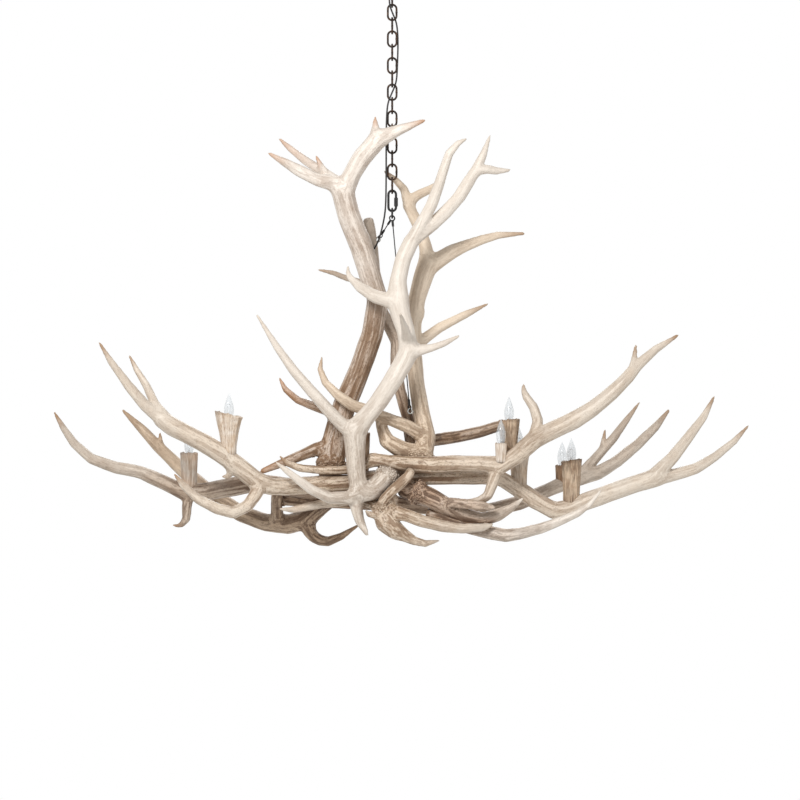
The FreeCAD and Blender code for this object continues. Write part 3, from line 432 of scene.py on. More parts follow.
def antler_finish(name, skin, low, stain, tip, tip_radius, stained_to, amount):
    """Bone with stain in its grooves, which fades out at stained_to metres from the foot, and painted shade
    where other antlers come close.
    """
    finish, tree, shader = new_finish(name)
    marks = {
        field: add(tree, "ShaderNodeAttribute", attribute_name=field).outputs["Fac"]
        for field in ("along", "groove", "contact_shade", "radius")
    }
    across = add(tree, "ShaderNodeAttribute", attribute_name="across").outputs["Vector"]
    place = add(tree, "ShaderNodeTexCoord").outputs["Object"]

    def grain(fineness, drift, detail):
        """Noise drawn out along the limb. The numbers count marks in a metre, across and along."""
        vector = add(tree, "ShaderNodeVectorMath", {0: across, "Scale": fineness}, operation="SCALE")
        run = calculate(tree, "MULTIPLY", marks["along"], drift)
        inputs = {"Vector": vector.outputs[0], "W": run, "Scale": 1, "Detail": detail, "Roughness": 0.62}
        return add(tree, "ShaderNodeTexNoise", inputs, noise_dimensions="4D").outputs["Fac"]

    fibres = grain(330, 10, 4)
    dashes = grain(350, 60, 3)
    pits = ramp(tree, grain(400, 240, 1), (0.56, BLACK), (0.66, WHITE))
    cloud = cloudy(tree, place, 9, 5)
    reach = add(
        tree,
        "ShaderNodeMapRange",
        {"Value": marks["along"], "From Min": 0, "From Max": stained_to, "To Min": 1, "To Max": 0},
        interpolation_type="SMOOTHSTEP",
    ).outputs["Result"]
    near = calculate(tree, "MULTIPLY_ADD", cloud, 1.1, calculate(tree, "SUBTRACT", reach, 0.58))
    # painted shade: the skin turns towards its low colour, and its stain lines grow stronger, where other
    # antlers come close
    near = calculate(tree, "MAXIMUM", near, calculate(tree, "MULTIPLY", marks["contact_shade"], 1.3))
    near = add(tree, "ShaderNodeClamp", {"Value": near}).outputs[0]
    colour = mixed(tree, near, skin, low)
    patches = ramp(tree, cloudy(tree, place, 24, 4), (0.46, BLACK), (0.7, WHITE))
    colour = mixed(tree, calculate(tree, "MULTIPLY", patches, 0.28), colour, low)
    ridges = calculate(tree, "MULTIPLY", ramp(tree, marks["groove"], (0.1, WHITE), (0.5, BLACK)), near)
    colour = mixed(tree, calculate(tree, "MULTIPLY", ridges, 0.4), colour, skin)
    strength = calculate(tree, "MULTIPLY_ADD", near, amount * 0.8, amount * 0.2)
    lines = calculate(tree, "MULTIPLY_ADD", marks["groove"], 0.55, calculate(tree, "MULTIPLY", fibres, 0.55))
    lines = ramp(tree, lines, (0.46, BLACK), (0.66, WHITE))
    colour = mixed(tree, calculate(tree, "MULTIPLY", lines, strength), colour, stain)
    specks = ramp(tree, dashes, (0.52, BLACK), (0.58, WHITE))
    specks = calculate(tree, "MULTIPLY", specks, calculate(tree, "MULTIPLY", strength, 0.85))
    colour = mixed(tree, specks, colour, stain)
    pits = calculate(tree, "MULTIPLY", pits, calculate(tree, "MULTIPLY", strength, 0.6))
    colour = mixed(tree, pits, colour, DARK)
    # painted shade: mottled dark colour where antlers meet
    contact_shade_mottle = calculate(tree, "MULTIPLY", marks["contact_shade"], cloudy(tree, place, 60))
    colour = mixed(tree, contact_shade_mottle, colour, DARK)
    thin = add(
        tree,
        "ShaderNodeMapRange",
        {"Value": marks["radius"], "From Min": THINNEST, "From Max": tip_radius, "To Min": 1.5, "To Max": 0},
    ).outputs["Result"]
    thin = add(tree, "ShaderNodeClamp", {"Value": calculate(tree, "MULTIPLY", thin, cloud)}).outputs[0]
    colour = mixed(tree, thin, colour, tip)
    tree.links.new(colour, shader.inputs["Base Color"])
    tree.links.new(between(tree, lines, 0.45, 0.75), shader.inputs["Roughness"])
    relief = calculate(tree, "MULTIPLY_ADD", dashes, 0.5, calculate(tree, "MULTIPLY", fibres, 0.8))
    lift(tree, shader, relief, BONE_RELIEF)
    return finish


# Each antler's skin, low part, stain and tip, and the radius under which a limb takes the tip's colour. Then
# the metres that are stained, how much, the grooves' depth and reach, the slot, and the foot in mm.
ANTLERS = {
    "antler_front_upright": (
        CREAM, GREY_BEIGE, STAIN, GREY_BEIGE, 0.006, 0.50, 0.5, 0.0005, 0.5, "antler_cream", (0, -50, 30)),
    "antler_left_upright": (
        IVORY, BROWN, STAIN, RUSTY, 0.0105, 0.94, 1.0, 0.0010, 0.7, "antler_cream", (-156, -36, 2)),
    "antler_right_upright": (
        HONEY, TAN, STAIN, BROWN, 0.008, 0.55, 0.65, 0.0010, 0.5, "antler_cream", (70, -34, 24)),
    "antler_rear_upright": (
        GREY_BEIGE, BROWN, DARK, BROWN, 0.007, 0.62, 0.9, 0.0010, 0.6, "antler_brown", (62, 34, 28)),
    "antler_left_front": (
        BONE, TAN, STAIN, BROWN, 0.006, 0.75, 0.9, 0.0010, 0.7, "antler_cream", (-24, -36, 4)),
    "antler_left_rear_ring": (
        GREY_BEIGE, BROWN, DARK, BROWN, 0.007, 0.95, 0.9, 0.0014, 0.9, "antler_brown", (-42, 4, -14)),
    "antler_left_back": (
        TAN, BROWN, DARK, BROWN, 0.010, 1.05, 1.0, 0.0013, 0.9, "antler_brown", (66, 20, 10)),
    "antler_right_front": (
        BONE, TAN, STAIN, BROWN, 0.0065, 0.75, 0.85, 0.0009, 0.7, "antler_cream", (-58, -62, 54)),
    "antler_right_middle": (
        GREY_BEIGE, PINK_BROWN, DARK, CREAM, 0.006, 0.45, 1.0, 0.0014, 0.4, "antler_brown", (20, -46, -16)),
    "antler_right_long": (
        BONE, TAN, STAIN, BROWN, 0.007, 0.78, 0.9, 0.0011, 0.7, "antler_cream", (-12, -18, 4)),
    "antler_right_low": (
        CREAM, BROWN, DARK, CREAM, 0.006, 0.40, 0.9, 0.0009, 0.5, "antler_brown", (88, -42, -84)),
    "antler_right_back": (
        GREY_BEIGE, BROWN, DARK, BROWN, 0.009, 1.15, 0.9, 0.0011, 0.9, "antler_brown", (-282, 74, -49)),
    "antler_bottom": (
        GREY_BEIGE, TAN, STAIN, GREY_BEIGE, 0.006, 0.32, 0.9, 0.0012, 0.3, "antler_cream", (4, -62, -42)),
}


def surface_without(left_out):
    """The CAD surfaces of every antler except one, to find how near its neighbours are."""
    points = []
    faces = []
    for name in ANTLERS:
        if name != left_out:
            mesh = nodes[name].data
            faces += [tuple(corner + len(points) for corner in face.vertices) for face in mesh.polygons]
            points += read(mesh.vertices, "co", 3).tolist()
    return BVHTree.FromPolygons(points, faces)


# The middle of each burr that has pearls, the way the beam leaves it and the beam's radius, in mm.
BURRS = {
    "antler_front_upright": ((-10, -56, 14), (-22, -14, -26), 25),
    "antler_left_upright": ((-152, -32, 40), (10, 10, 60), 31),
    "antler_right_upright": ((76, -28, 56), (10, 20, 52), 25),
    "antler_right_middle": ((62, -52, -30), (43, -6, -18), 25),
    "antler_right_back": ((-282, 74, -49), (92, -8, -6), 15),
    "antler_bottom": ((-16, -68, -74), (2, -6, -30), 22),
}


PEARL_GAP = 1.5
PEARLS_PER_AREA = 90000.0


def pearl_tree():
    """Geometry nodes that scatter small beads of bone over the band of skin round a burr."""
    tree = bpy.data.node_groups.new("burr_pearls", "GeometryNodeTree")
    sockets = {}
    for name, kind in (
        ("Skin", "NodeSocketGeometry"), ("Burr", "NodeSocketVector"), ("Way", "NodeSocketVector"),
        ("Reach", "NodeSocketFloat"), ("Band", "NodeSocketFloat"), ("Pearl", "NodeSocketFloat"),
        ("Seed", "NodeSocketInt"), ("Finish", "NodeSocketMaterial"),
    ):
        sockets[name] = tree.interface.new_socket(name, in_out="INPUT", socket_type=kind).identifier
    tree.interface.new_socket("Geometry", in_out="OUTPUT", socket_type="NodeSocketGeometry")
    given = add(tree, "NodeGroupInput").outputs
    place = add(tree, "GeometryNodeInputPosition").outputs[0]
    from_burr = add(
        tree, "ShaderNodeVectorMath", {0: place, 1: given["Burr"]}, operation="SUBTRACT"
    ).outputs[0]
    level = add(tree, "ShaderNodeVectorMath", {0: from_burr, 1: given["Way"]}, operation="DOT_PRODUCT")
    beside = calculate(tree, "LESS_THAN", calculate(tree, "ABSOLUTE", level.outputs["Value"]), given["Band"])
    far = add(tree, "ShaderNodeVectorMath", {0: from_burr}, operation="LENGTH").outputs["Value"]
    in_band = calculate(tree, "MULTIPLY", beside, calculate(tree, "LESS_THAN", far, given["Reach"]))
    gap = calculate(tree, "MULTIPLY", given["Pearl"], PEARL_GAP)
    scattered = add(
        tree,
        "GeometryNodeDistributePointsOnFaces",
        {"Mesh": given["Skin"], "Selection": in_band, "Distance Min": gap, "Density Max": PEARLS_PER_AREA,
         "Seed": given["Seed"]},
        distribute_method="POISSON",
    )
    bead = add(tree, "GeometryNodeMeshIcoSphere", {"Radius": given["Pearl"], "Subdivisions": 2})
    marked = bead.outputs[0]
    # the beads get a little painted shade too
    for field, value in (("radius", 0.02), ("groove", 0.4), ("contact_shade", 0.2)):
        marked = add(
            tree, "GeometryNodeStoreNamedAttribute", {"Geometry": marked, "Name": field, "Value": value}
        ).outputs[0]
    varied = add(tree, "FunctionNodeRandomValue", {"Min": 0.35, "Max": 1.2}, data_type="FLOAT")
    placed = add(
        tree,
        "GeometryNodeInstanceOnPoints",
        {"Points": scattered.outputs["Points"], "Instance": marked,
         "Rotation": scattered.outputs["Rotation"], "Scale": varied.outputs[1]},
    )
    beads = add(tree, "GeometryNodeSetShadeSmooth", {"Geometry": placed.outputs[0]})
    together = add(tree, "GeometryNodeJoinGeometry")
    tree.links.new(given["Skin"], together.inputs[0])
    tree.links.new(beads.outputs[0], together.inputs[0])
    whole = add(tree, "GeometryNodeRealizeInstances", {"Geometry": together.outputs[0]})
    inputs = {"Geometry": whole.outputs[0], "Material": given["Finish"]}
    painted = add(tree, "GeometryNodeSetMaterial", inputs)
    add(tree, "NodeGroupOutput", {0: painted.outputs[0]})
    return tree, sockets


PEARL_TREE, PEARL_SOCKETS = pearl_tree()
PEARL_RADIUS = 0.0026
BURR_BAND = 0.013
PEARLS_REACH = 20
FIRST_SEED = 11


def pearled(mesh, name, finish, seed):
    """The antler's mesh with beads round its burr."""
    burr, way, beam = BURRS[name]
    carrier = bpy.data.objects.new("carrier", mesh)
    bpy.context.scene.collection.objects.link(carrier)
    beads = carrier.modifiers.new("pearls", "NODES")
    beads.node_group = PEARL_TREE
    for label, value in (
        ("Burr", HUB + CLUSTER_SHIFT + in_mm(burr)), ("Way", Vector(way).normalized()),
        ("Reach", (beam + PEARLS_REACH) / 1000), ("Band", BURR_BAND), ("Pearl", PEARL_RADIUS),
        ("Seed", seed), ("Finish", finish),
    ):
        beads[PEARL_SOCKETS[label]] = value
    result = bpy.data.meshes.new_from_object(carrier.evaluated_get(bpy.context.evaluated_depsgraph_get()))
    bpy.data.objects.remove(carrier)
    bpy.data.meshes.remove(mesh)
    return result


for number, (name, (*look, depth, fade, slot, foot)) in enumerate(ANTLERS.items()):
    mesh = voxel_copy(nodes[name], ANTLER_VOXEL)
    edges, radius = round_off(mesh, ANTLER_VOXEL)
    carve(mesh, edges, radius, HUB + CLUSTER_SHIFT + in_mm(foot), depth, fade, surface_without(name))
    finish = antler_finish(name.replace("antler", "bone"), *look)
    if name in BURRS:
        mesh = pearled(mesh, name, finish, FIRST_SEED + number)
    antler = add_object(name + "_skin", mesh, finish)
    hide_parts(name)
    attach(antler, "antler_cluster")

# The candle cups. Each is a turned-out piece of antler base, bored for its socket, with upright fibres on
# its flared side and a torn rim that leans. It is pinned to its antler, so it rides on the cluster.
CUP_VOXEL = 0.0011
CUP_SMOOTHING = 14
CUP_RIBS = 15
CUP_RIB_DEPTH = 0.0009
CUP_RELIEF = 0.0014
RIM_START = 0.8
RIM_TEAR = 0.0022


def cup_finish(name, skin, low, stain):
    """Cut antler with upright fibres, darker in the furrows and at the foot."""
    finish, tree, shader = new_finish(name)
    place = add(tree, "ShaderNodeTexCoord").outputs["Object"]
    rib = add(tree, "ShaderNodeAttribute", attribute_name="rib").outputs["Fac"]
    height = add(tree, "ShaderNodeAttribute", attribute_name="height").outputs["Fac"]
    drawn = add(tree, "ShaderNodeMapping", {"Vector": place, "Scale": (420, 420, 26)}).outputs["Vector"]
    fibres = cloudy(tree, drawn, 1, 4, 0.65)
    cloud = cloudy(tree, place, 28, 4)
    colour = mixed(tree, ramp(tree, cloud, (0.38, BLACK), (0.64, WHITE)), skin, low)
    lines = ramp(tree, fibres, (0.46, BLACK), (0.66, WHITE))
    colour = mixed(tree, calculate(tree, "MULTIPLY", lines, 0.75), colour, stain)
    colour = mixed(tree, calculate(tree, "MULTIPLY", rib, 0.5), colour, stain)
    edge = ramp(tree, height, (0, WHITE), (0.16, BLACK), (0.9, BLACK), (1, WHITE))
    colour = mixed(tree, calculate(tree, "MULTIPLY", edge, 0.5), colour, DARK)
    tree.links.new(colour, shader.inputs["Base Color"])
    tree.links.new(between(tree, fibres, 0.5, 0.85), shader.inputs["Roughness"])
    lift(tree, shader, fibres, CUP_RELIEF)
    return finish


def dress_cup(mesh):
    """Ribs up the outer side and teeth round the rim."""
    points = read(mesh.vertices, "co", 3)
    normals = read(mesh.vertices, "normal", 3)
    low, high = points.min(axis=0), points.max(axis=0)
    middle = (low + high) / 2
    rise = (points[:, 2] - low[2]) / (high[2] - low[2])
    shape = numpy.zeros((len(points), 1))
    ribs = numpy.zeros((len(points), 1))
    tears = numpy.zeros((len(points), 1))
    for number, point in enumerate(points):
        spoke = Vector((point[0] - middle[0], point[1] - middle[1], 0))
        outer = max(0, Vector(normals[number]).dot(spoke.normalized()))
        spread_out = spoke.normalized() * (CUP_RIBS / 3)
        rib = noise.noise(spread_out + Vector((middle[0] * 9, middle[1] * 9, rise[number] * 1.3)))
        fine = noise.noise(spread_out * 2.6 + Vector((0, middle[0] * 7, rise[number] * 2)))
        shape[number] = (rib + 0.5 * fine) * CUP_RIB_DEPTH * outer
        ribs[number] = min(1, max(0, -1.6 * (rib + 0.4 * fine))) * outer
        top = max(0, (rise[number] - RIM_START) / (1 - RIM_START))
        tears[number] = noise.noise(spread_out * 1.4 + Vector((middle[0], 5, 0))) * RIM_TEAR * top
    moved = points + normals * shape
    moved[:, 2:] += tears
    write_points(mesh, moved)
    keep(mesh, "rib", "FLOAT", ribs)
    keep(mesh, "height", "FLOAT", rise)


PALE_PINK = linear(205, 180, 158)
CUPS = {
    "left_front": (CREAM, TAN, BROWN),
    "left_end": (CREAM, PALE_PINK, BROWN),
    "centre": (TAN, BROWN, DARK),
    "right_branch": (TAN, BROWN, DARK),
    "right_front": (CREAM, TAN, BROWN),
    "right_inner": (GREY_BEIGE, TAN, STAIN),
    "right_outer": (TAN, BROWN, DARK),
    "right_back": (BROWN, STAIN, DARK),
}
for name, colours in CUPS.items():
    mesh = softened(nodes["cup_" + name], CUP_VOXEL, CUP_SMOOTHING)
    dress_cup(mesh)
    cup = add_object(f"cup_{name}_turned", mesh, cup_finish("cup_bone_" + name, *colours))
    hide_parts("cup_" + name)
    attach(cup, "antler_cluster")

# The candle bulbs. Each has a pointed clear glass envelope, blown thin, with a filament on two wires and
# a glass stem inside, and a plated base that turns in the socket.
LATHE_SIDES = 40
OUTLINE_STEPS = 5
MEETING = 2e-5


def lathe(outline, sides=LATHE_SIDES):
    """A turned mesh from points of radius and height about the Z axis."""
    points = []
    faces = []
    for radius, height in outline:
        for side in range(sides):
            angle = 2 * math.pi * side / sides
            points.append((radius * math.cos(angle), radius * math.sin(angle), height))
    for level in range(len(outline) - 1):
        for side in range(sides):
            beside = (side + 1) % sides
            low, high = level * sides, (level + 1) * sides
            faces.append((low + side, low + beside, high + beside, high + side))
    mesh = bpy.data.meshes.new("turned")
    mesh.from_pydata(points, [], faces)
    return mesh


def finish_turned(mesh):
    """Closes the poles of a turned mesh, points its faces outwards and shades it smooth."""
    shape = bmesh.new()
    shape.from_mesh(mesh)
    bmesh.ops.remove_doubles(shape, verts=shape.verts, dist=MEETING)
    bmesh.ops.recalc_face_normals(shape, faces=shape.faces)
    shape.to_mesh(mesh)
    shape.free()
    mesh.shade_smooth()
    return mesh


def joined(*meshes):
    """One mesh from several, which keep their materials by number."""
    shape = bmesh.new()
    for number, mesh in enumerate(meshes):
        first = len(shape.faces)
        shape.from_mesh(mesh)
        shape.faces.ensure_lookup_table()
        for face in shape.faces[first:]:
            face.material_index = number
    whole = bpy.data.meshes.new("joined")
    shape.to_mesh(whole)
    shape.free()
    return whole


def smooth_outline(rows):
    """More points along an outline, on a curve through its rows."""
    rows = [Vector(row) for row in rows]
    points = []
    for number in range(len(rows) - 1):
        before = rows[max(0, number - 1)]
        start, end = rows[number], rows[number + 1]
        after = rows[min(len(rows) - 1, number + 2)]
        for step in range(OUTLINE_STEPS):
            t = step / OUTLINE_STEPS
            pull = (end - before) / 2
            leave = (after - start) / 2
            points.append(
                start * (2 * t**3 - 3 * t**2 + 1)
                + pull * (t**3 - 2 * t**2 + t)
                + end * (3 * t**2 - 2 * t**3)
                + leave * (t**3 - t**2)
            )
    return points + [rows[-1]]


def mottled(name, fineness, dark, light, gloss_fineness, low_gloss, high_gloss, metallic=0, relief=None):
    """A material whose colour and gloss vary softly. Relief is its fineness, detail and depth."""
    finish, tree, shader = new_finish(name)
    shader.inputs["Metallic"].default_value = metallic
    place = add(tree, "ShaderNodeTexCoord").outputs["Object"]
    colour = ramp(tree, cloudy(tree, place, fineness), (0.3, linear(*dark)), (0.8, linear(*light)))
    tree.links.new(colour, shader.inputs["Base Color"])
    gloss = between(tree, cloudy(tree, place, gloss_fineness), low_gloss, high_gloss)
    tree.links.new(gloss, shader.inputs["Roughness"])
    if relief:
        fineness, detail, depth = relief
        lift(tree, shader, cloudy(tree, place, fineness, detail), depth)
    return finish


glass_finish, tree, shader = new_finish("bulb_glass")
shader.inputs["Base Color"].default_value = linear(214, 220, 224)
smear = cloudy(tree, add(tree, "ShaderNodeTexCoord").outputs["Object"], 45)
tree.links.new(between(tree, smear, 0.02, 0.15), shader.inputs["Roughness"])
tree.links.new(between(tree, smear, 0.1, 0.26), shader.inputs["Alpha"])
lift(tree, shader, smear, 0.0002)

steel_finish = mottled("bulb_base_nickel", 120, (150, 146, 138), (205, 202, 196), 300, 0.2, 0.45, 1)
filament_finish = mottled(
    "filament_tungsten", 200, (70, 66, 62), (120, 116, 110), 400, 0.35, 0.6, metallic=0.6
)

DENTS_PER_METRE = 160.0
DENT_LEVEL = 0.6


def wire_tree():
    """Geometry nodes that sweep a round wire along a path of edges and give it a forged surface."""
    tree = bpy.data.node_groups.new("wire_along_path", "GeometryNodeTree")
    sockets = {}
    for name, kind in (
        ("Path", "NodeSocketGeometry"), ("Wire", "NodeSocketFloat"), ("Spacing", "NodeSocketFloat"),
        ("Sides", "NodeSocketInt"), ("Dents", "NodeSocketFloat"), ("Finish", "NodeSocketMaterial"),
    ):
        sockets[name] = tree.interface.new_socket(name, in_out="INPUT", socket_type=kind).identifier
    tree.interface.new_socket("Geometry", in_out="OUTPUT", socket_type="NodeSocketGeometry")
    given = add(tree, "NodeGroupInput").outputs
    curve = add(tree, "GeometryNodeMeshToCurve", {"Mesh": given["Path"]})
    inputs = {"Curve": curve.outputs[0], "Length": given["Spacing"]}
    even = add(tree, "GeometryNodeResampleCurve", inputs, mode="LENGTH")
    half = calculate(tree, "MULTIPLY", given["Wire"], 0.5)
    inputs = {"Resolution": given["Sides"], "Radius": half}
    round_wire = add(tree, "GeometryNodeCurvePrimitiveCircle", inputs)
    swept = add(
        tree,
        "GeometryNodeCurveToMesh",
        {"Curve": even.outputs[0], "Profile Curve": round_wire.outputs[0], "Fill Caps": True},
    )
    hammer = add(tree, "ShaderNodeTexNoise", {"Scale": DENTS_PER_METRE, "Detail": 1.0})
    depth = calculate(tree, "SUBTRACT", hammer.outputs["Fac"], DENT_LEVEL)
    depth = calculate(tree, "MULTIPLY", depth, given["Dents"])
    push = add(
        tree,
        "ShaderNodeVectorMath",
        {0: add(tree, "GeometryNodeInputNormal").outputs[0], "Scale": depth},
        operation="SCALE",
    )
    dented = add(tree, "GeometryNodeSetPosition", {"Geometry": swept.outputs[0], "Offset": push.outputs[0]})
    smooth = add(tree, "GeometryNodeSetShadeSmooth", {"Geometry": dented.outputs[0]})
    whole = add(tree, "GeometryNodeRealizeInstances", {"Geometry": smooth.outputs[0]})
    inputs = {"Geometry": whole.outputs[0], "Material": given["Finish"]}
    painted = add(tree, "GeometryNodeSetMaterial", inputs)
    add(tree, "NodeGroupOutput", {0: painted.outputs[0]})
    return tree, sockets


WIRE_TREE, WIRE_SOCKETS = wire_tree()


def wire_mesh(paths, finish, closed=False, wire=0.005, spacing=0.001, sides=16, dents=0.0):
    """The mesh of round wire along one or more lists of points."""
    points = []
    edges = []
    for path in paths:
        first = len(points)
        points += [tuple(point) for point in path]
        edges += [(number, number + 1) for number in range(first, len(points) - 1)]
        if closed:
            edges.append((len(points) - 1, first))
    mesh = bpy.data.meshes.new("path")
    mesh.from_pydata(points, edges, [])
    carrier = bpy.data.objects.new("path", mesh)
    bpy.context.scene.collection.objects.link(carrier)
    swept = carrier.modifiers.new("wire", "NODES")
    swept.node_group = WIRE_TREE
    for name, value in (
        ("Wire", float(wire)), ("Spacing", float(spacing)), ("Sides", sides), ("Dents", float(dents)),
        ("Finish", finish),
    ):
        swept[WIRE_SOCKETS[name]] = value
    result = bpy.data.meshes.new_from_object(carrier.evaluated_get(bpy.context.evaluated_depsgraph_get()))
    bpy.data.objects.remove(carrier)
    bpy.data.meshes.remove(mesh)
    return result


# radius and height of the glass in shares of the bulb's widest radius and of its height over the base
GLASS_OUTLINE = (
    (0.56, 0.0), (0.66, 0.06), (0.88, 0.18), (1.0, 0.36), (0.93, 0.5), (0.72, 0.66), (0.42, 0.82),
    (0.2, 0.93), (0.06, 1.0),
)
GLASS_WALL = 0.0006
GLASS_TIP = 0.0016
BASE_TOP_SHARE = 0.255
BASE_SHARE = 0.54
THREADS = 10
THREAD_PITCH = 0.0014
THREAD_ROOT = 0.93
STEM_SHARE = 0.26
STEM_SIDES = 16
FILAMENT_SHARE = 0.52
FILAMENT_REACH = 0.0042
FILAMENT_ARCH = 0.0035
COIL_STEPS = 60
COIL_TURNS = 9
COIL_RADIUS = 0.0006
FILAMENT_WIRE = 0.0005
for name in CUPS:
    low, high = map(Vector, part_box("bulb_" + name))
    middle = (low + high) / 2
    base_top = low.z + (high.z - low.z) * BASE_TOP_SHARE
    glass_height = high.z - base_top
    widest = (high.x - low.x) / 2
    outside = smooth_outline([(r * widest, base_top + h * glass_height) for r, h in GLASS_OUTLINE])
    outside = [(max(0, r), h) for r, h in outside] + [(0, high.z)]
    inside = [(max(0, r - GLASS_WALL), min(h, high.z - GLASS_TIP)) for r, h in reversed(outside)]
    glass = finish_turned(lathe(outside + inside))
    base_radius = widest * BASE_SHARE
    rolled = [(0, low.z), (base_radius * 0.5, low.z), (base_radius * 0.9, low.z + 0.003)]
    for turn in range(THREADS):
        height = low.z + 0.005 + turn * THREAD_PITCH
        rolled += [(base_radius, height), (base_radius * THREAD_ROOT, height + THREAD_PITCH / 2)]
    rolled += [(base_radius, base_top - 0.0005), (base_radius, base_top + 0.0008)]
    rolled += [(base_radius - 0.0004, base_top), (0, base_top - 0.001)]
    base = finish_turned(lathe(rolled))
    stem_top = base_top + glass_height * STEM_SHARE
    flare = [(0.0034, base_top), (0.0022, base_top + 0.006), (0.0013, stem_top - 0.002), (0, stem_top)]
    stem = finish_turned(lathe(flare, STEM_SIDES))
    filament_height = base_top + glass_height * FILAMENT_SHARE
    tips = [Vector((side * FILAMENT_REACH, 0, filament_height)) for side in (-1, 1)]
    leads = [[Vector((side * 0.0012, 0, base_top + 0.004)), tip] for side, tip in zip((-1, 1), tips)]
    coil = []
    for step in range(COIL_STEPS):
        share = step / (COIL_STEPS - 1)
        turn = share * 2 * math.pi * COIL_TURNS
        centre = tips[0].lerp(tips[1], share) + Vector((0, 0, FILAMENT_ARCH * math.sin(share * math.pi)))
        coil.append(centre + Vector((0, math.cos(turn), math.sin(turn))) * COIL_RADIUS)
    wires = wire_mesh(leads + [coil], filament_finish, wire=FILAMENT_WIRE, spacing=0.0005, sides=6)
    mesh = joined(glass, base, stem, wires)
    mesh.transform(Matrix.Translation((middle.x, middle.y, 0)))
    bulb = bpy.data.objects.new(f"bulb_{name}_lamp", mesh)
    bpy.context.scene.collection.objects.link(bulb)
    for finish in (glass_finish, steel_finish, glass_finish, filament_finish):
        mesh.materials.append(finish)
    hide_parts("bulb_" + name)
    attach(bulb, "bulb_" + name)

# The chain. Each link is bent from bronzed steel wire, butt-welded on one long side, and turned a quarter
# from the one above. Every link swings on its neighbour, so each is a body of its own.
LINK_WIRE = 0.0052
LINK_STEPS = 14
LINK_DENTS = 0.0004
WIRE_SPACING = 0.0012
WELD_WIDTH = 0.0016
WELD_HEIGHT = 0.0005
METAL_RELIEF = 0.0004


def oval(width, length, across):
    """Middle line of a link: two half circles joined by straight sides."""
    radius = width / 2
    points = []
    for end in (1, -1):
        for step in range(LINK_STEPS + 1):
            angle = math.pi * step / LINK_STEPS + (0 if end == 1 else math.pi)
            sideways = Vector(across) * (radius * math.cos(angle))
            points.append(sideways + Vector((0, 0, end * (length / 2 - radius) + radius * math.sin(angle))))
    return points


def metal_finish(name, dark, worn, low_gloss, high_gloss, metallic=1.0, sheen=0.5):
    """Plated or lacquered steel that is rubbed brighter in places."""
    finish, tree, shader = new_finish(name)
    shader.inputs["Metallic"].default_value = metallic
    shader.inputs["Specular IOR Level"].default_value = sheen
    place = add(tree, "ShaderNodeTexCoord").outputs["Object"]
    rub = ramp(tree, cloudy(tree, place, 140, 4), (0.48, BLACK), (0.72, WHITE))
    tree.links.new(mixed(tree, rub, dark, worn), shader.inputs["Base Color"])
    gloss = between(tree, cloudy(tree, place, 420), low_gloss, high_gloss)
    tree.links.new(gloss, shader.inputs["Roughness"])
    lift(tree, shader, cloudy(tree, place, 700, 2), METAL_RELIEF)
    return finish


bronze = metal_finish("bronze_lacquer", linear(38, 28, 22), linear(98, 72, 54), 0.4, 0.65, 0.1, 0.2)
black_oxide = metal_finish("black_oxide", linear(30, 29, 29), linear(58, 56, 54), 0.35, 0.55, 0.1, 0.25)
zinc = metal_finish("zinc_plate", linear(176, 176, 172), linear(205, 205, 200), 0.25, 0.4)
brass = metal_finish("brass_tube", linear(172, 140, 78), linear(200, 170, 104), 0.25, 0.45)

links = sorted(name for name in nodes if name.startswith("chain_link_"))
for number, name in enumerate(links, start=1):
    low, high = map(Vector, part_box(name))
    across = (0, 1, 0) if number % 2 else (1, 0, 0)
    width = (high - low).dot(Vector(across)) - LINK_WIRE
    outline = oval(width, high.z - low.z - LINK_WIRE, across)
    mesh = wire_mesh([outline], bronze, closed=True, wire=LINK_WIRE, spacing=WIRE_SPACING, dents=LINK_DENTS)
    seam = Vector(across) * (width / 2)
    points = read(mesh.vertices, "co", 3)
    for index, point in enumerate(points):
        reach = math.exp(-((point[2] / WELD_WIDTH) ** 2))
        side = Vector(point) - Vector((seam.x, seam.y, point[2]))
        if side.length < LINK_WIRE:
            points[index] = Vector(point) + side.normalized() * (WELD_HEIGHT * reach)
    write_points(mesh, points)
    mesh.transform(Matrix.Translation((low + high) / 2))
    link = add_object(f"link_{number:02d}_wire", mesh, bronze)
    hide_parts(name)
    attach(link, f"link_{number:02d}")

# The quick link, its sleeve and the ring: black-oxide steel. The link is left open low on its right side
# and the six-sided sleeve screws over the gap. The ring under it gathers both cables.
QUICK_WIRE = 0.006
QUICK_GAP = (-0.012, -0.005)
low, high = map(Vector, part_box("quick_link"))
width = high.x - low.x - QUICK_WIRE
outline = oval(width, high.z - low.z - QUICK_WIRE, (1, 0, 0))
start = outline[0]
opened = [Vector((start.x, 0, QUICK_GAP[1]))] + outline + [Vector((start.x, 0, QUICK_GAP[0]))]
mesh = wire_mesh([opened], black_oxide, wire=QUICK_WIRE, spacing=WIRE_SPACING, sides=20)
mesh.transform(Matrix.Translation((low + high) / 2))
quick_link = add_object("quick_link_wire", mesh, black_oxide)
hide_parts("quick_link")
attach(quick_link, "quick_link")

low, high = map(Vector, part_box("hanging_ring"))
RING_WIRE = 0.005
RING_STEPS = 40
bend = high.z - low.z - RING_WIRE
middle = (low + high) / 2
circle = [
    middle + Vector((0, math.cos(turn), math.sin(turn))) * (bend / 2)
    for turn in (2 * math.pi * step / RING_STEPS for step in range(RING_STEPS))
]
ring = add_object("ring_wire", wire_mesh([circle], black_oxide, closed=True, wire=RING_WIRE), black_oxide)
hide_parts("hanging_ring")
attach(ring, "antler_cluster")

SLEEVE_VOXEL = 0.0004
sleeve = add_object("sleeve_nut", softened(nodes["quick_link_sleeve"], SLEEVE_VOXEL, 3), black_oxide)
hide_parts("quick_link_sleeve")
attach(sleeve, "sleeve")

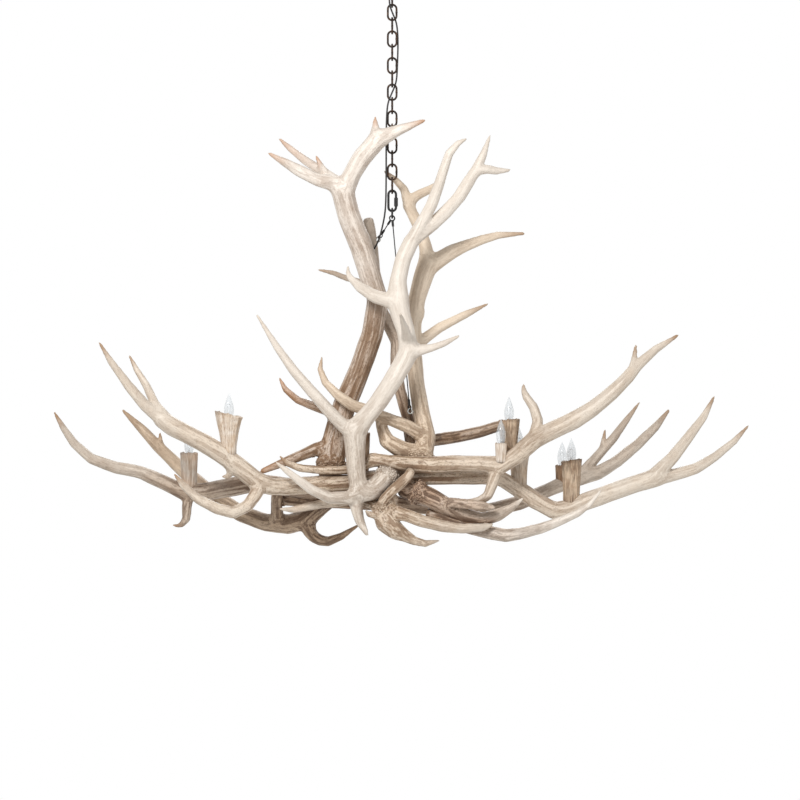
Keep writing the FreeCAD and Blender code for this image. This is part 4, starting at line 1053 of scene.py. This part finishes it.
# The cables and their screw eyes. Each cable is black steel rope with a crimped ferrule at both eyes. The
# eyes are bent wire with a screw shank that goes into the antler.
CABLE_VOXEL = 0.0005
for name, finish, slot in (
    ("suspension_cables", black_oxide, "black_steel"),
    ("screw_eyes", zinc, "zinc_steel"),
):
    piece = add_object(name + "_rounded", softened(nodes[name], CABLE_VOXEL, 4), finish)
    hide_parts(name)
    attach(piece, "antler_cluster")

# The lamp cord: black round cord that comes down the stem, is woven through the chain by hand and goes
# into a drilled hole in the rear upright. The stretch beside each link turns with it, and the last one,
# between the quick link and the cluster, is not attached to any body.
CORD_WIDTH = 0.0042
CORD_END = HUB + CLUSTER_SHIFT + Vector((-0.050, 0.049, 0.572))
CORD_ROUTE = [
    Vector((0, 0, -0.004)),
    Vector((0, 0, -0.050)),
    Vector((-0.005, -0.0065, -0.063)),
    Vector((-0.008, -0.009, -0.092)),
    Vector((0, 0, -0.1148)),
    Vector((0.010, 0.008, -0.136)),
    Vector((0.014, 0.007, -0.165)),
    Vector((0.0145, 0.007, -0.205)),
    Vector((0.013, 0.007, -0.245)),
    Vector((0.011, 0.008, -0.288)),
    Vector((0, 0, -0.3146)),
    Vector((-0.011, -0.008, -0.340)),
    Vector((-0.014, -0.008, -0.375)),
    Vector((-0.015, -0.007, -0.420)),
    Vector((-0.015, -0.008, -0.470)),
    Vector((-0.015, -0.007, -0.520)),
    Vector((-0.0155, -0.006, -0.570)),
    Vector((-0.017, -0.002, -0.612)),
    CORD_END + Vector((0.026, -0.034, 0.060)),
    CORD_END + Vector((0.014, -0.026, 0.018)),
    CORD_END,
]
spline_data = bpy.data.curves.new("cord_route", "CURVE")
spline_data.dimensions = "3D"
spline_data.resolution_u = 10
spline = spline_data.splines.new("NURBS")
spline.points.add(len(CORD_ROUTE) - 1)
for point, place in zip(spline.points, CORD_ROUTE):
    point.co = (*place, 1)
spline.order_u = 3
spline.use_endpoint_u = True
spline_object = bpy.data.objects.new("cord_route", spline_data)
bpy.context.scene.collection.objects.link(spline_object)
seen = spline_object.evaluated_get(bpy.context.evaluated_depsgraph_get())
line_mesh = bpy.data.meshes.new_from_object(seen)
cord_line = [vertex.co.copy() for vertex in line_mesh.vertices]
bpy.data.objects.remove(spline_object)
bpy.data.meshes.remove(line_mesh)

cord_finish = mottled(
    "cord_rubber", 160, (30, 28, 27), (46, 43, 41), 500, 0.55, 0.75, relief=(900, 2, 0.0003)
)


def stretch_of(line, top, bottom):
    """The part of a falling line between two heights, with its cut ends."""
    part = []
    for here, there in zip(line, line[1:]):
        for height in (top, bottom):
            if (here.z - height) * (there.z - height) < 0:
                part.append(here.lerp(there, (here.z - height) / (here.z - there.z)))
        if bottom <= there.z <= top:
            part.append(there)
    return part


# each stretch reaches a little past the joints at its ends, so that none opens
STRETCH_OVERLAP = 0.0022
TURN_REACH = 0.010
joint_heights = {joint["child"]: joint["pos_m"][2] for joint in frame["joints"] if "pos_m" in joint}
hung = ["ceiling_fitting"] + [f"link_{number:02d}" for number in range(1, len(links) + 1)] + ["quick_link"]
top = 0.0
for number, (body, below) in enumerate(zip(hung, hung[1:] + [None]), start=1):
    bottom = joint_heights[below] - STRETCH_OVERLAP if below else CORD_END.z - STRETCH_OVERLAP
    part = stretch_of(cord_line, top, bottom)
    mesh = wire_mesh([part], cord_finish, wire=CORD_WIDTH, spacing=0.0016, sides=14)
    cord = add_object(f"cord_stretch_{number:02d}", mesh, cord_finish)
    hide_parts("power_cord")
    if below:
        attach(cord, body)
        top = joint_heights[below] + STRETCH_OVERLAP
    else:
        turn = Vector((0, 0, joint_heights["antler_cluster"]))
        reach = Vector((0, 0, TURN_REACH))
        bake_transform(cord)

# The ceiling fitting: a strap screwed to the ceiling, a hollow threaded stem with its locknut, a spun
# canopy over them and a screw collar that clamps the canopy and carries the chain's loop.
low, high = map(Vector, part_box("canopy"))
rim = (high.x - low.x) / 2
CANOPY_WALL = 0.0015
CANOPY_HOLE = 0.0053
CANOPY_LIP = -0.002
CANOPY_SIDES = 72
canopy_outline = smooth_outline([
    (rim, 0.0), (rim, CANOPY_LIP), (rim - 0.0004, -0.006), (rim - 0.006, -0.0135), (rim - 0.020, -0.0222),
    (rim - 0.033, -0.0282), (0.024, -0.0312), (0.012, -0.032), (CANOPY_HOLE, -0.032),
])
inner = [
    (max(CANOPY_HOLE, r - CANOPY_WALL), h + CANOPY_WALL)
    for r, h in reversed(canopy_outline) if h < CANOPY_LIP
]
turned = [tuple(point) for point in canopy_outline] + inner + [(rim - CANOPY_WALL, 0.0), (rim, 0.0)]
canopy = add_object("canopy_spun", finish_turned(lathe(turned, CANOPY_SIDES)), bronze)
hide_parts("canopy")
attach(canopy, "ceiling_fitting")
COLLAR_VOXEL = 0.0007
collar = add_object("collar_loop_cast", softened(nodes["collar_loop"], COLLAR_VOXEL, 8), bronze)
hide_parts("collar_loop")
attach(collar, "ceiling_fitting")

# Sockets and tubes keep their CAD shape: white phenolic sockets on short brass tubes, and the zinc-plated
# strap, stem and nut inside the canopy.
phenolic = mottled(
    "socket_phenolic", 80, (222, 217, 206), (236, 232, 224), 260, 0.35, 0.5, relief=(500, 3, 0.0002)
)
for name, finish in (
    ("sockets", phenolic), ("socket_nipples", brass), ("ceiling_strap", zinc), ("threaded_stem", zinc),
    ("stem_locknut", zinc),
):
    for holder in nodes[name].material_slots:
        holder.material = finish
